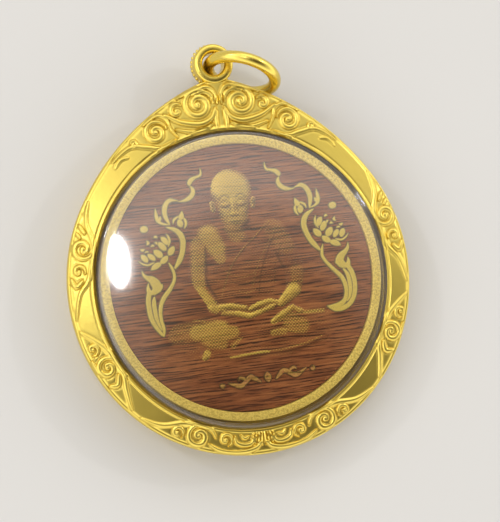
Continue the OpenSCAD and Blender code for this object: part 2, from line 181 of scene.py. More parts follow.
class Sock:
    """A node's output, which takes part in Python sums by adding Math nodes."""

    def __init__(self, paint: "Paint", socket: bpy.types.NodeSocket) -> None:
        """Keeps the socket and the material that it belongs to."""
        self.paint = paint
        self.socket = socket

    def __add__(self, other: "Sock | float") -> "Sock":
        """This plus other."""
        return self.paint.sum("ADD", self, other)

    def __sub__(self, other: "Sock | float") -> "Sock":
        """This less other."""
        return self.paint.sum("SUBTRACT", self, other)

    def __rsub__(self, other: float) -> "Sock":
        """Other less this."""
        return self.paint.sum("SUBTRACT", other, self)

    def __mul__(self, other: "Sock | float") -> "Sock":
        """This times other."""
        return self.paint.sum("MULTIPLY", self, other)

    def __pow__(self, other: float) -> "Sock":
        """This to a power."""
        return self.paint.sum("POWER", self, other)

    def cosine(self) -> "Sock":
        """The cosine of this."""
        return self.paint.sum("COSINE", self)

    def step(self, low: float, high: float) -> "Sock":
        """Smooth rise of this from 0 at low to 1 at high."""
        node = self.paint.add(
            "ShaderNodeMapRange",
            {"interpolation_type": "SMOOTHSTEP"},
            {"Value": self, "From Min": low, "From Max": high},
        )
        return self.paint.out(node, "Result")


class Paint:
    """Builds one node material."""

    def __init__(self, name: str) -> None:
        """Starts an empty material with its output."""
        self.material = bpy.data.materials.new(name)
        self.material.use_nodes = True
        self.tree = self.material.node_tree
        self.tree.nodes.clear()
        self.end = self.tree.nodes.new("ShaderNodeOutputMaterial")

    def add(self, kind: str, settings: dict | None = None, inputs: dict | None = None) -> bpy.types.Node:
        """Adds a node.

        Args:
            kind: the node's type.
            settings: its own settings; the stops of a ramp are pairs of place and colour.
            inputs: values or links, by the socket's name or number.

        Returns:
            The node.
        """
        node = self.tree.nodes.new(kind)
        for key, value in (settings or {}).items():
            if key == "stops":
                self.set_stops(node.color_ramp, value)
            else:
                setattr(node, key, value)
        for key, value in (inputs or {}).items():
            if isinstance(value, Sock):
                self.tree.links.new(value.socket, node.inputs[key])
            else:
                node.inputs[key].default_value = value
        return node

    @staticmethod
    def set_stops(ramp: bpy.types.ColorRamp, stops: Sequence[tuple[float, Colour]]) -> None:
        """Gives a ramp its stops."""
        while len(ramp.elements) < len(stops):
            ramp.elements.new(0.5)
        for element, (place, colour) in zip(ramp.elements, stops):
            element.position = place
            element.color = (*colour, 1.0)

    def out(self, node: bpy.types.Node, name: str | int = 0) -> Sock:
        """One of a node's outputs."""
        return Sock(self, node.outputs[name])

    def sum(self, operation: str, *values: Sock | float) -> Sock:
        """Adds one Math node."""
        node = self.add("ShaderNodeMath", {"operation": operation}, dict(enumerate(values)))
        return self.out(node)

    def places(self, stretch: Triple = (1, 1, 1), turn: float = 0) -> Sock:
        """The place on the object in millimetres, turned about Z by some degrees and then stretched."""
        place = self.out(self.add("ShaderNodeTexCoord"), "Object")
        if turn:
            place = self.out(self.add(
                "ShaderNodeVectorRotate",
                {"rotation_type": "Z_AXIS"},
                {"Vector": place, "Angle": radians(turn)},
            ))
        scale = tuple(s / MM for s in stretch)
        return self.out(self.add("ShaderNodeVectorMath", {"operation": "MULTIPLY"}, {0: place, 1: scale}))

    def wave(self, place: Sock, axis: str, length: float, sway: Sock | None = None) -> Sock:
        """A cosine wave along an axis of a place, pushed aside by a sway in radians."""
        parts = self.add("ShaderNodeSeparateXYZ", None, {"Vector": place})
        turn = self.out(parts, axis) * (2 * pi / length)
        return (turn + sway if sway else turn).cosine()

    def noise(
        self, place: Sock, scale: float, detail: float = 2, rough: float = 0.5, warp: float = 0
    ) -> Sock:
        """A cloudy pattern between 0 and 1."""
        node = self.add(
            "ShaderNodeTexNoise",
            None,
            {"Vector": place, "Scale": scale, "Detail": detail, "Roughness": rough, "Distortion": warp},
        )
        return self.out(node, 0)

    def attribute(self, name: str) -> Sock:
        """A number that the mesh holds for each vertex."""
        node = self.add("ShaderNodeAttribute", {"attribute_name": name})
        return self.out(node, "Fac")

    def mix(self, share: Sock | float, first: Sock | Colour, second: Sock | Colour) -> Sock:
        """A colour between two others."""
        node = self.add("ShaderNodeMix", {"data_type": "RGBA"})
        for index, value in ((0, share), (6, first), (7, second)):
            if isinstance(value, Sock):
                self.tree.links.new(value.socket, node.inputs[index])
            elif index == 0:
                node.inputs[index].default_value = value
            else:
                node.inputs[index].default_value = (*value, 1.0)
        return self.out(node, 2)

    def bump(self, height: Sock, depth: float) -> Sock:
        """A Normal from a height between 0 and 1 and its depth in millimetres."""
        return self.out(self.add("ShaderNodeBump", None, {"Height": height, "Distance": depth * MM}))

    def surface(self, inputs: dict) -> bpy.types.Material:
        """Ends the material in a Principled surface with these inputs."""
        return self.close(self.add("ShaderNodeBsdfPrincipled", None, inputs))

    def close(self, shader: bpy.types.Node) -> bpy.types.Material:
        """Ends the material in a shader."""
        self.tree.links.new(shader.outputs[0], self.end.inputs["Surface"])
        return self.material


@dataclass(frozen=True)
class Gold:
    """Polished or satin gold plate.

    A mesh may hold "deep", a painted shade: it is 1 in the bottom of a groove and less on the faces inside
    the case, and it darkens the gold towards brown there and makes it rougher.
    """

    name: str
    bright: Colour = (0.86, 0.675, 0.15)
    cloud: Colour = (0.80, 0.605, 0.115)
    deep: Colour = (0.50, 0.32, 0.045)
    painted_shade_share: float = 0.6
    least_rough: float = 0.23
    cloud_size: float = 5.0
    cloud_rough: float = 0.12
    grain_rate: float = 9.0
    grain_rough: float = 0.05
    deep_rough: float = 0.15
    ripple_size: float = 0.9
    ripple_depth: float = 0.012

    def material(self) -> bpy.types.Material:
        """The finish as a material."""
        paint = Paint(self.name)
        place = paint.places()
        cloud = paint.noise(place, 1 / self.cloud_size, 3)
        ripple = paint.noise(place, 1 / self.ripple_size, 3, 0.6)
        grain = paint.noise(place, self.grain_rate)
        # Painted shade: where the mesh's mask is high the gold is darkened towards brown, and also made
        # rougher.
        shade_mask = paint.attribute("deep")
        colour = paint.mix(cloud, self.bright, self.cloud)
        rough = cloud * self.cloud_rough + grain * self.grain_rough + shade_mask * self.deep_rough
        return paint.surface({
            "Base Color": paint.mix(shade_mask * self.painted_shade_share, colour, self.deep),
            "Metallic": 1.0,
            "Roughness": rough + self.least_rough,
            "Normal": paint.bump(ripple, self.ripple_depth),
        })


@dataclass(frozen=True)
class GrainyGold:
    """Matt gold with a fine grain and worn, darker spots, as on the medallion's rim."""

    name: str
    bright: Colour = (1.0, 0.76, 0.17)
    worn: Colour = (0.56, 0.36, 0.06)
    grain_size: float = 0.26
    grain_share: float = 0.6
    grain_rough: float = 0.18
    grain_depth: float = 0.045
    patch_rate: float = 0.5
    patch_share: float = 0.1
    wear_rate: float = 2.6
    wear_share: float = 0.4
    wear_rough: float = 0.15
    least_rough: float = 0.42
    metallic: float = 0.5

    def material(self) -> bpy.types.Material:
        """The finish as a material."""
        paint = Paint(self.name)
        place = paint.places()
        grain = paint.noise(place, 1 / self.grain_size, 3, 0.6)
        patch = paint.noise(place, self.patch_rate, 4, 0.6)
        wear = paint.noise(place, self.wear_rate, 4, 0.7).step(0.55, 0.75)
        spots = grain.step(0.46, 0.58) * self.grain_share
        share = wear * self.wear_share + patch * self.patch_share + spots
        return paint.surface({
            "Base Color": paint.mix(share, self.bright, self.worn),
            "Metallic": self.metallic,
            "Roughness": grain * self.grain_rough + wear * self.wear_rough + self.least_rough,
            "Normal": paint.bump(grain, self.grain_depth),
        })


@dataclass(frozen=True)
class PrintedGold:
    """Flat gold print on the wood, with a fine grain and thin places.

    A mesh holds "flank", which is 1 on the raised wood's side, where the gold gives way to a very dark brown:
    partly the bare wood, partly painted shade.
    """

    name: str
    bright: Colour = (0.98, 0.75, 0.155)
    thin: Colour = (0.60, 0.40, 0.08)
    flank: Colour = (0.085, 0.036, 0.014)
    grain_rate: float = 7.0
    grain_share: float = 0.2
    grain_rough: float = 0.15
    grain_depth: float = 0.02
    patch_rate: float = 1.6
    patch_share: float = 0.3
    least_rough: float = 0.36
    metallic: float = 0.75

    def material(self) -> bpy.types.Material:
        """The finish as a material."""
        paint = Paint(self.name)
        place = paint.places()
        grain = paint.noise(place, self.grain_rate, 3, 0.6)
        patch = paint.noise(place, self.patch_rate, 3, 0.6).step(0.5, 0.8)
        # Painted shade: the raised side is painted darker than the bare wood would be.
        side = paint.attribute("flank")
        share = grain * self.grain_share + patch * self.patch_share
        return paint.surface({
            "Base Color": paint.mix(side, paint.mix(share, self.bright, self.thin), self.flank),
            "Metallic": (1 - side) * self.metallic,
            "Roughness": grain * self.grain_rough + self.least_rough,
            "Normal": paint.bump(grain, self.grain_depth),
        })


@dataclass(frozen=True)
class Wood:
    """Dark reddish wood whose fibres run across, with fine black pores and, where told, gold.

    The rates are how often a pattern repeats in a millimetre, across and up. A printed mesh holds "tone", how
    dense the gold dots are, and "ink", how dark a line is. A gilt one holds "flank", which is 1 on its raised
    side; there the very dark colour is painted on as painted shade.
    """

    name: str
    light: Colour = (0.43, 0.155, 0.050)
    mid: Colour = (0.25, 0.076, 0.025)
    dark: Colour = (0.034, 0.011, 0.006)
    gilt: Colour = (0.84, 0.58, 0.105)
    print_ink_and_shade: Colour = (0.085, 0.036, 0.014)
    printed: bool = False
    gilding: float = 0.0
    dot_pitch: float = 0.325
    dot_turn: float = 45.0
    dot_metallic: float = 0.75
    dot_height: float = 0.2
    line_pitch: float = 0.43
    line_sway: float = 26.0
    band_rate: Triple = (0.09, 0.6, 1)
    fibre_rate: Triple = (0.2, 2.9, 1)
    sway_rate: Triple = (0.075, 0.55, 1)
    gate_rate: Triple = (0.3, 2.4, 1)
    wear_rate: Triple = (0.5, 3, 1)
    pore_share: float = 0.95
    relief: float = 0.03
    specular: float = 0.2

    def fibres(self, paint: Paint) -> tuple[Sock, Sock, Sock]:
        """The wood's own colour, its height between 0 and 1, and where its pores are."""
        band = paint.noise(paint.places(self.band_rate), 1.0, 3, 0.5, 0.4)
        fibre = paint.noise(paint.places(self.fibre_rate), 1.0, 3, 0.6, 0.2)
        sway = paint.noise(paint.places(self.sway_rate), 1.0, 2, 0.45)
        gate = paint.noise(paint.places(self.gate_rate), 1.0, 2, 0.6)
        line = paint.wave(paint.places(), "Y", self.line_pitch, sway * self.line_sway)
        ramp = paint.add(
            "ShaderNodeValToRGB",
            {"stops": ((0.30, self.dark), (0.44, self.mid), (0.64, self.light))},
            {"Fac": band * 0.35 + fibre * 0.75 - 0.05},
        )
        gap = line.step(0.0, 0.8) * gate.step(0.36, 0.6)
        colour = paint.mix(gap * self.pore_share, paint.out(ramp, "Color"), self.dark)
        return colour, fibre * 0.4 + 0.5 - gap * 0.5, gap

    def dots(self, paint: Paint) -> Sock:
        """The gold dots of the print: 1 on a dot, 0 between them."""
        place = paint.places(turn=self.dot_turn)
        waves = paint.wave(place, "X", self.dot_pitch) + paint.wave(place, "Y", self.dot_pitch)
        wear = paint.noise(paint.places(self.wear_rate), 1.0, 3, 0.6) - 0.5
        return (waves * 0.25 + 0.5 + paint.attribute("tone") + wear * 0.35).step(0.9, 1.1)

    def material(self) -> bpy.types.Material:
        """The finish as a material."""
        paint = Paint(self.name)
        colour, height, gap = self.fibres(paint)
        metal: Sock | float = 0.0
        rough: Sock | float = 0.36
        if self.printed:
            dot = self.dots(paint) * (1 - gap * 0.35)
            ink = paint.attribute("ink")
            for share, over in (
                (ink * 0.6, self.dark),
                (paint.attribute("tone") * 0.45, self.gilt),
                (dot, self.gilt),
                (ink * 0.75, self.print_ink_and_shade),
            ):
                colour = paint.mix(share, colour, over)
            metal = dot * self.dot_metallic
            rough = dot * 0.06 + 0.34
            height = height + dot * self.dot_height
        elif self.gilding:
            # Painted shade: the raised side takes the very dark colour, and the gilding stops there.
            flank = paint.attribute("flank")
            worn = paint.noise(paint.places(), 2.2, 4, 0.7).step(0.35, 0.65) * self.gilding
            metal = worn * (1 - flank)
            colour = paint.mix(flank, paint.mix(worn, colour, self.gilt), self.print_ink_and_shade)
        return paint.surface({
            "Base Color": colour,
            "Metallic": metal,
            "Roughness": rough,
            "Specular IOR Level": self.specular,
            "Normal": paint.bump(height, self.relief),
        })


@dataclass(frozen=True)
class ClearAcrylic:
    """A clear, glossy cover with a faint haze of scratches, whose gloss on the slanting wall is tinted gold:
    a painted reflection of the gold beside it.
    """

    name: str
    tint: Colour = (0.97, 0.975, 0.97)
    # The gold tint of the gloss on the slanting wall: a painted reflection.
    side: Colour = (0.80, 0.58, 0.24)
    side_slant: Point = (0.55, 0.8)
    scuff_rate: Triple = (0.6, 2.5, 1)
    scuff_rough: float = 0.03
    least_rough: float = 0.07
    haze: float = 0.15
    edge_gloss: float = 0.03
    grazing_gloss: float = 0.6

    def material(self) -> bpy.types.Material:
        """The finish as a material."""
        paint = Paint(self.name)
        scuff = paint.noise(paint.places(self.scuff_rate), 1.2, 4, 0.7)
        rough = scuff.step(0.55, 0.8) * self.scuff_rough + self.least_rough
        clear = paint.add("ShaderNodeBsdfTransparent", None, {"Color": (*self.tint, 1)})
        # Painted reflection: at a slant, as on the wall, the gloss turns gold.
        plain, gold_tinted_gloss = (
            paint.add("ShaderNodeBsdfGlossy", None, {"Color": (*colour, 1), "Roughness": rough})
            for colour in ((1, 1, 1), self.side)
        )
        slant = paint.out(paint.add("ShaderNodeLayerWeight", None, {"Blend": 0.5}), "Facing")
        share = slant ** 5 * self.grazing_gloss + (1 - slant) ** 3 * self.haze + slant * self.edge_gloss
        side = slant.step(*self.side_slant)
        gloss = paint.add("ShaderNodeMixShader", None, {0: side, 1: paint.out(plain), 2: paint.out(gold_tinted_gloss)})
        return paint.close(
            paint.add("ShaderNodeMixShader", None, {0: share, 1: paint.out(clear), 2: paint.out(gloss)})
        )


@dataclass(frozen=True)
class PaleFloor:
    """A plain pale, matt surface."""

    name: str = "pale_floor"
    colour: Colour = (0.68, 0.675, 0.67)
    cloud_rate: float = 0.02
    cloud_share: float = 0.2
    cloud_dark: float = 0.93
    roughness: float = 0.8

    def material(self) -> bpy.types.Material:
        """The finish as a material."""
        paint = Paint(self.name)
        cloud = paint.noise(paint.places(), self.cloud_rate)
        darker = tuple(self.cloud_dark * c for c in self.colour)
        colour = paint.mix(cloud * self.cloud_share, self.colour, darker)
        return paint.surface({"Base Color": colour, "Roughness": self.roughness})


def lathe(section: Sequence[Point], steps: int, closed: bool = True) -> bmesh.types.BMesh:
    """Spins a section round the Z axis.

    Args:
        section: places as (radius, height).
        steps: the steps of a whole turn.
        closed: whether the section's last place joins its first.

    Returns:
        A closed mesh with outward faces.
    """
    bm = bmesh.new()
    verts = [bm.verts.new((r, 0, z)) for r, z in section]
    pairs = list(zip(verts, verts[1:]))
    if closed:
        pairs.append((verts[-1], verts[0]))
    edges = [bm.edges.new(pair) for pair in pairs]
    bmesh.ops.spin(
        bm, geom=verts + edges, cent=(0, 0, 0), axis=(0, 0, 1), angle=2 * pi, steps=steps, use_merge=True
    )
    bmesh.ops.remove_doubles(bm, verts=bm.verts, dist=1e-4)
    bmesh.ops.recalc_face_normals(bm, faces=bm.faces)
    return bm


def arc(x: float, z: float, r: float, start: float, end: float, steps: int) -> list[Point]:
    """Places along an arc of a section, with its angles in degrees."""
    turns = [radians(between(start, end, i / steps)) for i in range(steps + 1)]
    return [(x + r * cos(a), z + r * sin(a)) for a in turns]


def rounded(corners: Sequence[Point], r: float, steps: int = 3) -> list[Point]:
    """A closed section with its corners rounded off.

    Args:
        corners: the section's corners.
        r: how far from a corner its rounding starts.
        steps: the steps of each rounding.

    Returns:
        The section's places.
    """
    places: list[Point] = []
    for i, corner in enumerate(corners):
        here = Vector(corner)
        before = Vector(corners[i - 1]) - here
        after = Vector(corners[(i + 1) % len(corners)]) - here
        start = here + before.normalized() * min(r, before.length / 2.1)
        end = here + after.normalized() * min(r, after.length / 2.1)
        for k in range(steps + 1):
            t = k / steps
            spot = start * (1 - t) ** 2 + here * (2 * t * (1 - t)) + end * t ** 2
            places.append((spot.x, spot.y))
    return places


def place_object(name: str, data: bpy.types.ID) -> bpy.types.Object:
    """Puts a new object into the scene."""
    thing = bpy.data.objects.new(name, data)
    bpy.context.scene.collection.objects.link(thing)
    return thing


@dataclass
class Piece:
    """One finished piece of the pendant."""

    name: str
    slot: str
    stands_for: tuple[str, ...] = ()
    smooth_below: float = 40.0

    def make(
        self,
        bm: bmesh.types.BMesh,
        finish: bpy.types.Material,
        move: Callable[[np.ndarray], Dressed] | None = None,
    ) -> None:
        """Turns a mesh in millimetres into a piece that rides on the pendant.

        Args:
            bm: the mesh, which is freed.
            finish: its material.
            move: takes the vertices and gives back their new places and what the mesh holds for each.
        """
        mesh = bpy.data.meshes.new(self.name)
        bm.to_mesh(mesh)
        bm.free()
        co = np.empty(len(mesh.vertices) * 3)
        mesh.vertices.foreach_get("co", co)
        co = co.reshape(-1, 3)
        marks: dict[str, np.ndarray] = {}
        if move:
            co, marks = move(co)
        mesh.vertices.foreach_set("co", (co * MM).ravel())
        for name, values in marks.items():
            layer = mesh.attributes.new(name, "FLOAT", "POINT")
            layer.data.foreach_set("value", values.astype(np.float32))
        mesh.shade_smooth()
        mesh.set_sharp_from_angle(angle=radians(self.smooth_below))
        mesh.materials.append(finish)
        mesh.update()
        piece = place_object(self.name, mesh)
        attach(piece, BODY)
        if self.stands_for:
            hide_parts(*self.stands_for)
        LOG.info("%s: %d triangles", self.name, sum(len(p.vertices) - 2 for p in mesh.polygons))


@dataclass(frozen=True)
class Scroll:
    """A spiral ridge: where it is, its radii as shares of the frame's width, and how it turns in degrees."""

    angle: float
    share: float
    outer: float
    inner: float
    start: float
    turn: float


@dataclass(frozen=True)
class Line:
    """A raised line: its width and height as shares, and its places by angle and share across the frame."""

    width: float
    rise: float
    places: tuple[Point, ...]


SCROLLS = (
    Scroll(6.9, 0.61, 0.60, 0.10, 290, 620),
    Scroll(14.2, 0.70, 0.28, 0.08, 300, 330),
    Scroll(23.8, 0.53, 0.46, 0.09, 262, 560),
    Scroll(32.4, 0.72, 0.20, 0.07, 90, 330),
    Scroll(73, 0.52, 0.42, 0.09, 200, -500),
    Scroll(80.8, 0.56, 0.24, 0.07, 160, 330),
    Scroll(108.0, 0.66, 0.24, 0.07, 60, 330),
    Scroll(115.8, 0.50, 0.42, 0.09, 160, 500),
    Scroll(149.0, 0.64, 0.25, 0.07, 60, 360),
    Scroll(156.4, 0.50, 0.45, 0.09, 160, 520),
    Scroll(166.2, 0.42, 0.27, 0.07, 30, 400),
)
LINES = (
    Line(1.1, 1.0, ((1.9, 0.06), (1.8, 0.22), (1.2, 0.38))),
    Line(1.0, 1.0, ((0.7, 0.50), (1.0, 0.70), (3.2, 0.87), (8.5, 0.92), (13, 0.93))),
    Line(0.9, 0.9, ((1.9, 0.54), (2.3, 0.70), (4.2, 0.80), (8, 0.84))),
    Line(1.3, 1.1, ((1.5, 0.44), (3.6, 0.26), (8.5, 0.22), (14.5, 0.42), (18.6, 0.78))),
    Line(1.1, 1.0, ((3.4, 0.15), (7, 0.08), (12, 0.11), (17, 0.30))),
    Line(0.9, 0.9, ((17.4, 0.12), (18.6, 0.40), (18.6, 0.66), (21, 0.88), (26, 0.90))),
    Line(1.2, 1.0, ((18.6, 0.08), (25, 0.08), (29.4, 0.36), (34, 0.70), (41.5, 0.82))),
    Line(0.9, 0.8, ((36.6, 0.50), (39.2, 0.66), (42.6, 0.62))),
    Line(1.1, 1.0, ((57, 0.86), (64, 0.62), (70, 0.16), (77.5, 0.09), (84, 0.20), (89, 0.56), (97, 0.84))),
    Line(0.9, 0.9, ((65.4, 0.86), (67.6, 0.56))),
    Line(0.8, 0.8, ((68.2, 0.88), (69.4, 0.68))),
    Line(1.2, 1.0, ((83.4, 0.86), (86, 0.66), (84, 0.42))),
    Line(1.1, 1.0, ((101, 0.86), (106, 0.42), (112, 0.12), (120, 0.11), (125.6, 0.42), (132, 0.84))),
    Line(1.2, 1.0, ((121.4, 0.84), (122.6, 0.54), (120, 0.30))),
    Line(0.9, 0.9, ((111.4, 0.88), (115.6, 0.90))),
    Line(1.1, 1.0, ((136, 0.88), (143, 0.66), (149, 0.26), (155, 0.08), (160.4, 0.14), (162.6, 0.42))),
    Line(1.2, 1.0, ((179, 0.50), (177, 0.72), (172, 0.88), (165.4, 0.88), (160.8, 0.70))),
    Line(1.1, 1.0, ((176.6, 0.34), (175.4, 0.54), (172.8, 0.60), (170.2, 0.50), (169.4, 0.26))),
    Line(0.9, 0.9, ((174.6, 0.24), (173, 0.34), (171.6, 0.20))),
)
ZONES = (
    ((-30, -0.2), (18.6, -0.2), (25, 0.02), (29.4, 0.30), (34, 0.64), (41.5, 0.80), (46, 1.1)),
    ((55, 1.1), (57, 0.90), (64, 0.68), (70, 0.22), (77.5, 0.15), (84, 0.26), (89, 0.62), (97, 0.90),
     (99, 1.1)),
    ((99, 1.1), (101, 0.92), (106, 0.48), (112, 0.18), (120, 0.17), (125.6, 0.48), (132, 0.90), (134, 1.1)),
    ((134, 1.1), (136, 0.94), (143, 0.72), (149, 0.32), (155, 0.10), (160.4, -0.1), (166, -0.2), (210, -0.2)),
)


@dataclass
class Case:
    """The front frame with its crest and scrolls, the drum and the bail.

    The main sizes match the solids. The beads, the grooves and the scrolls' profiles are finer here. The
    place of a groove is its middle and its width, measured in from the edge beside it.
    """

    frame_w: float = 3.55
    face_fall: float = 0.5
    edge_w: float = 0.9
    edge_t: float = 0.5
    crest_rise: float = 4.1
    crest_side_r: float = 36.0
    crest_tip_r: float = 4.0
    soften: float = 0.12
    drum_t: float = 0.8
    drum_chamfer: float = 0.15
    bore_chamfer: float = 0.1
    # How much painted shade the faces inside the case, below the lip, are given.
    under_shade: float = 0.15
    fit: float = 0.05
    scroll_h: float = 0.17
    scroll_w: float = 0.46
    pitch_share: float = 0.46
    line_w: float = 0.32
    moat: float = 0.15
    recess: float = 0.11
    lip_groove: float = 0.09
    lip_groove_at: Point = (0.36, 0.09)
    edge_groove: float = 0.054
    edge_groove_at: Point = (0.42, 0.1)
    # How far a groove lies below its blurred surroundings where its painted shade is full.
    full_shade_depth: float = 0.045
    boss_share: float = 0.1
    boss_grow: float = 1.2
    uncoil: float = 1.25
    fan_ribs: int = 8
    fan_in: float = 0.3
    fan_l: float = 1.8
    fan_near: float = 1.0
    fan_far: float = 1.35
    rib_w: float = 0.17
    rib_h: float = 0.13
    stations: int = 1200
    samples: int = 52
    bail_hole_r: float = 1.55
    bail_t: float = 1.3
    bail_depth: float = 3.0
    bail_low: float = 0.2
    bead_r: float = 0.36
    bail_round: float = 0.6
    fine_bead_r: float = 0.25
    bead_sunk: float = 0.05
    bead_back: float = -0.35
    side_beads: int = 11
    bead_step: float = 12.5
    case_r: float = field(init=False)
    window_r: float = field(init=False)
    lip_z: float = field(init=False)
    frame_z: float = field(init=False)
    bore_r: float = field(init=False)
    drum_r: float = field(init=False)
    face_r: float = field(init=False)
    ridges: list[tuple[np.ndarray, float, float]] = field(init=False)

    def __post_init__(self) -> None:
        """Reads the outer sizes from the frame."""
        self.case_r = span("case")[1].x
        self.window_r = span("cover")[1].x - FLANGE_W + self.fit
        self.lip_z = lip_height()
        self.frame_z = self.lip_z - LIP_T
        self.bore_r = self.window_r + FLANGE_W
        self.drum_r = self.bore_r + self.drum_t
        self.face_r = self.window_r + self.soften
        self.ridges = [(self.scroll_path(s), self.scroll_width(s), self.scroll_h) for s in SCROLLS]
        for line in LINES:
            self.ridges.append((self.line_path(line), self.line_w * line.width, self.scroll_h * line.rise))

    def outline(self, angle: np.ndarray) -> np.ndarray:
        """How far out the frame reaches, at angles from the crest in degrees."""
        w = np.abs((angle + 540) % 360 - 180)
        tip_y = self.case_r + self.crest_rise - self.crest_tip_r
        side_in = self.crest_side_r - self.case_r
        side_tip = self.crest_side_r - self.crest_tip_r
        side_y = (tip_y ** 2 + side_in ** 2 - side_tip ** 2) / (2 * tip_y)
        side_x = sqrt(side_in ** 2 - side_y ** 2)
        join = np.degrees(atan2(side_x, -side_y))
        turn = atan2(side_x, tip_y - side_y)
        tip = np.degrees(atan2(self.crest_tip_r * sin(turn), tip_y + self.crest_tip_r * cos(turn)))

        def reach(x: float, y: float, r: float) -> np.ndarray:
            """Distance to a circle's far side."""
            along = turned(w) @ np.array([x, y])
            return along + np.sqrt(np.maximum(along ** 2 - x * x - y * y + r * r, 0))

        side = reach(-side_x, side_y, self.crest_side_r)
        top = reach(0, tip_y, self.crest_tip_r)
        return np.where(w >= join, self.case_r, np.where(w >= tip, side, top))

    def place(self, angle: float, share: float) -> np.ndarray:
        """A place on the frame: an angle from the crest, and a share from window to outline."""
        return between(self.window_r, float(self.outline(np.array(angle))), share) * turned(angle)

    def scroll_width(self, s: Scroll) -> float:
        """Half the width of a spiral's ridge, which leaves a groove between its turns."""
        pitch = self.frame_w * (s.outer - s.inner) / (abs(s.turn) / 360)
        return min(self.scroll_w, self.pitch_share * pitch)

    def scroll_path(self, s: Scroll) -> np.ndarray:
        """The points of a spiral ridge."""
        middle = self.place(s.angle, s.share)
        steps = 40
        points = []
        for i in range(steps + 1):
            r = self.frame_w * between(s.outer, s.inner, (i / steps) ** self.uncoil)
            points.append(middle + r * turned(s.angle + s.start + s.turn * i / steps))
        return np.array(points)

    def line_path(self, line: Line) -> np.ndarray:
        """The points of a raised line."""
        return np.array([self.place(a, s) for a, s in smooth_rows(line.places, 10)])

    def raised(self, spots: np.ndarray) -> tuple[np.ndarray, np.ndarray]:
        """How high the scrolls, the lines and the ribs stand, and how far down the grooves beside them go."""
        ups = np.zeros(len(spots))
        downs = np.zeros(len(spots))
        for path, width, rise in self.ridges:
            level = ridge(spots, path, width, rise, self.moat)
            ups = np.maximum(ups, level)
            downs = np.minimum(downs, level)
        for s in SCROLLS:
            boss = self.frame_w * min(s.inner, self.boss_share) * self.boss_grow
            gap = np.hypot(*(spots - self.place(s.angle, s.share)).T) / boss
            ups = np.maximum(ups, self.scroll_h * np.clip(1 - gap ** 2, 0, 1) ** 0.6)
        near_r = self.face_r + self.fan_in
        for k in range(self.fan_ribs):
            turn = k - (self.fan_ribs - 1) / 2
            feet = near_r * turned(180 + self.fan_near * turn)
            head = (near_r + self.fan_l) * turned(180 + self.fan_far * turn)
            rib = np.array([feet, (feet + head) / 2, head])
            ups = np.maximum(ups, ridge(spots, rib, self.rib_w, self.rib_h))
        return ups, downs

    def sunk(self, angle: np.ndarray, inner: np.ndarray, outer: np.ndarray) -> np.ndarray:
        """Where the plain ground between the scrolls is sunk: 1 where it is, fading to 0 at its edges."""
        ground = np.zeros(len(angle))
        for rows in ZONES:
            curve = smooth_rows(rows, 8)
            edge = np.interp(angle, curve[:, 0], curve[:, 1], left=1.2, right=1.2)
            ground = np.maximum(ground, ease(inner - edge * (inner + outer), 0, 0.4))
        return ground * ease(outer, 0.1, 0.5) * ease(inner, 0.3, 0.6)

    def relief(self, spots: np.ndarray, share: np.ndarray) -> np.ndarray:
        """The height of the stamped scrolls above the plain face.

        Args:
            spots: places on the right half of the face, in millimetres.
            share: how far each is across the face, from window to outline.

        Returns:
            The height at each place.
        """
        angle = np.degrees(np.arctan2(spots[:, 0], spots[:, 1]))
        wide = self.outline(angle) - self.window_r
        inner = share * wide
        outer = (1 - share) * wide
        ups, downs = self.raised(spots)
        ground = self.recess * self.sunk(angle, inner, outer) * ease(-ups, -0.12, 0)
        lip = self.lip_groove * dent(inner, *self.lip_groove_at)
        edge = self.edge_groove * dent(outer, *self.edge_groove_at) * (ups < 0.05)
        return ups + downs * (ups < 0.02) - ground - lip - edge

    def relief_table(self) -> tuple[np.ndarray, np.ndarray]:
        """The relief of the right half, and the painted shade of its grooves, by station and sample."""
        angle, share = np.meshgrid(
            np.linspace(0, 180, self.stations // 2 + 1), np.linspace(0, 1, self.samples + 1), indexing="ij"
        )
        across = (self.soften + share * (self.case_r - self.face_r)) / (self.case_r - self.window_r)
        r = between(self.window_r, self.outline(angle), across)
        spots = r[..., None] * turned(angle)
        level = self.relief(spots.reshape(-1, 2), share.ravel()).reshape(angle.shape)
        # Painted shade: the further a place lies below its blurred surroundings, the darker it is painted.
        calm = level
        for _ in range(2):
            wide = np.pad(calm, 1, mode="edge")
            calm = (wide[:-2, 1:-1] + wide[2:, 1:-1] + wide[1:-1, :-2] + wide[1:-1, 2:]) / 4
        return level, np.clip((calm - level) / self.full_shade_depth, 0, 1)

    def face(self, co: np.ndarray) -> Dressed:
        """Moves the round lathe's face to the crested outline and raises its relief."""
        z = co[:, 2]
        r = np.hypot(co[:, 0], co[:, 1])
        angle = np.degrees(np.arctan2(co[:, 0], co[:, 1]))
        out = self.outline(angle)
        beyond = (z > self.frame_z - NEAR) & (r > self.window_r + NEAR)
        beyond &= (r > self.drum_r + NEAR) | (z > self.frame_z + NEAR)
        share = np.clip((r - self.window_r) / (self.case_r - self.window_r), 0, 1)
        new_r = np.where(beyond, between(self.window_r, out, share), r)
        on_face = np.abs(z - self.lip_z) < NEAR
        inside = np.clip((out - new_r) / self.edge_w, 0, 1)
        edge_fall = self.lip_z - self.face_fall - self.frame_z - self.edge_t
        fall = self.face_fall * share + edge_fall * (1 - np.sqrt(1 - (1 - inside) ** 2))
        table, groove_shade = self.relief_table()
        station = np.round(np.abs(angle) * self.stations / 360).astype(int)
        sample = np.round((r - self.face_r) / (self.case_r - self.face_r) * self.samples).astype(int)
        spot = (station, np.clip(sample, 0, self.samples))
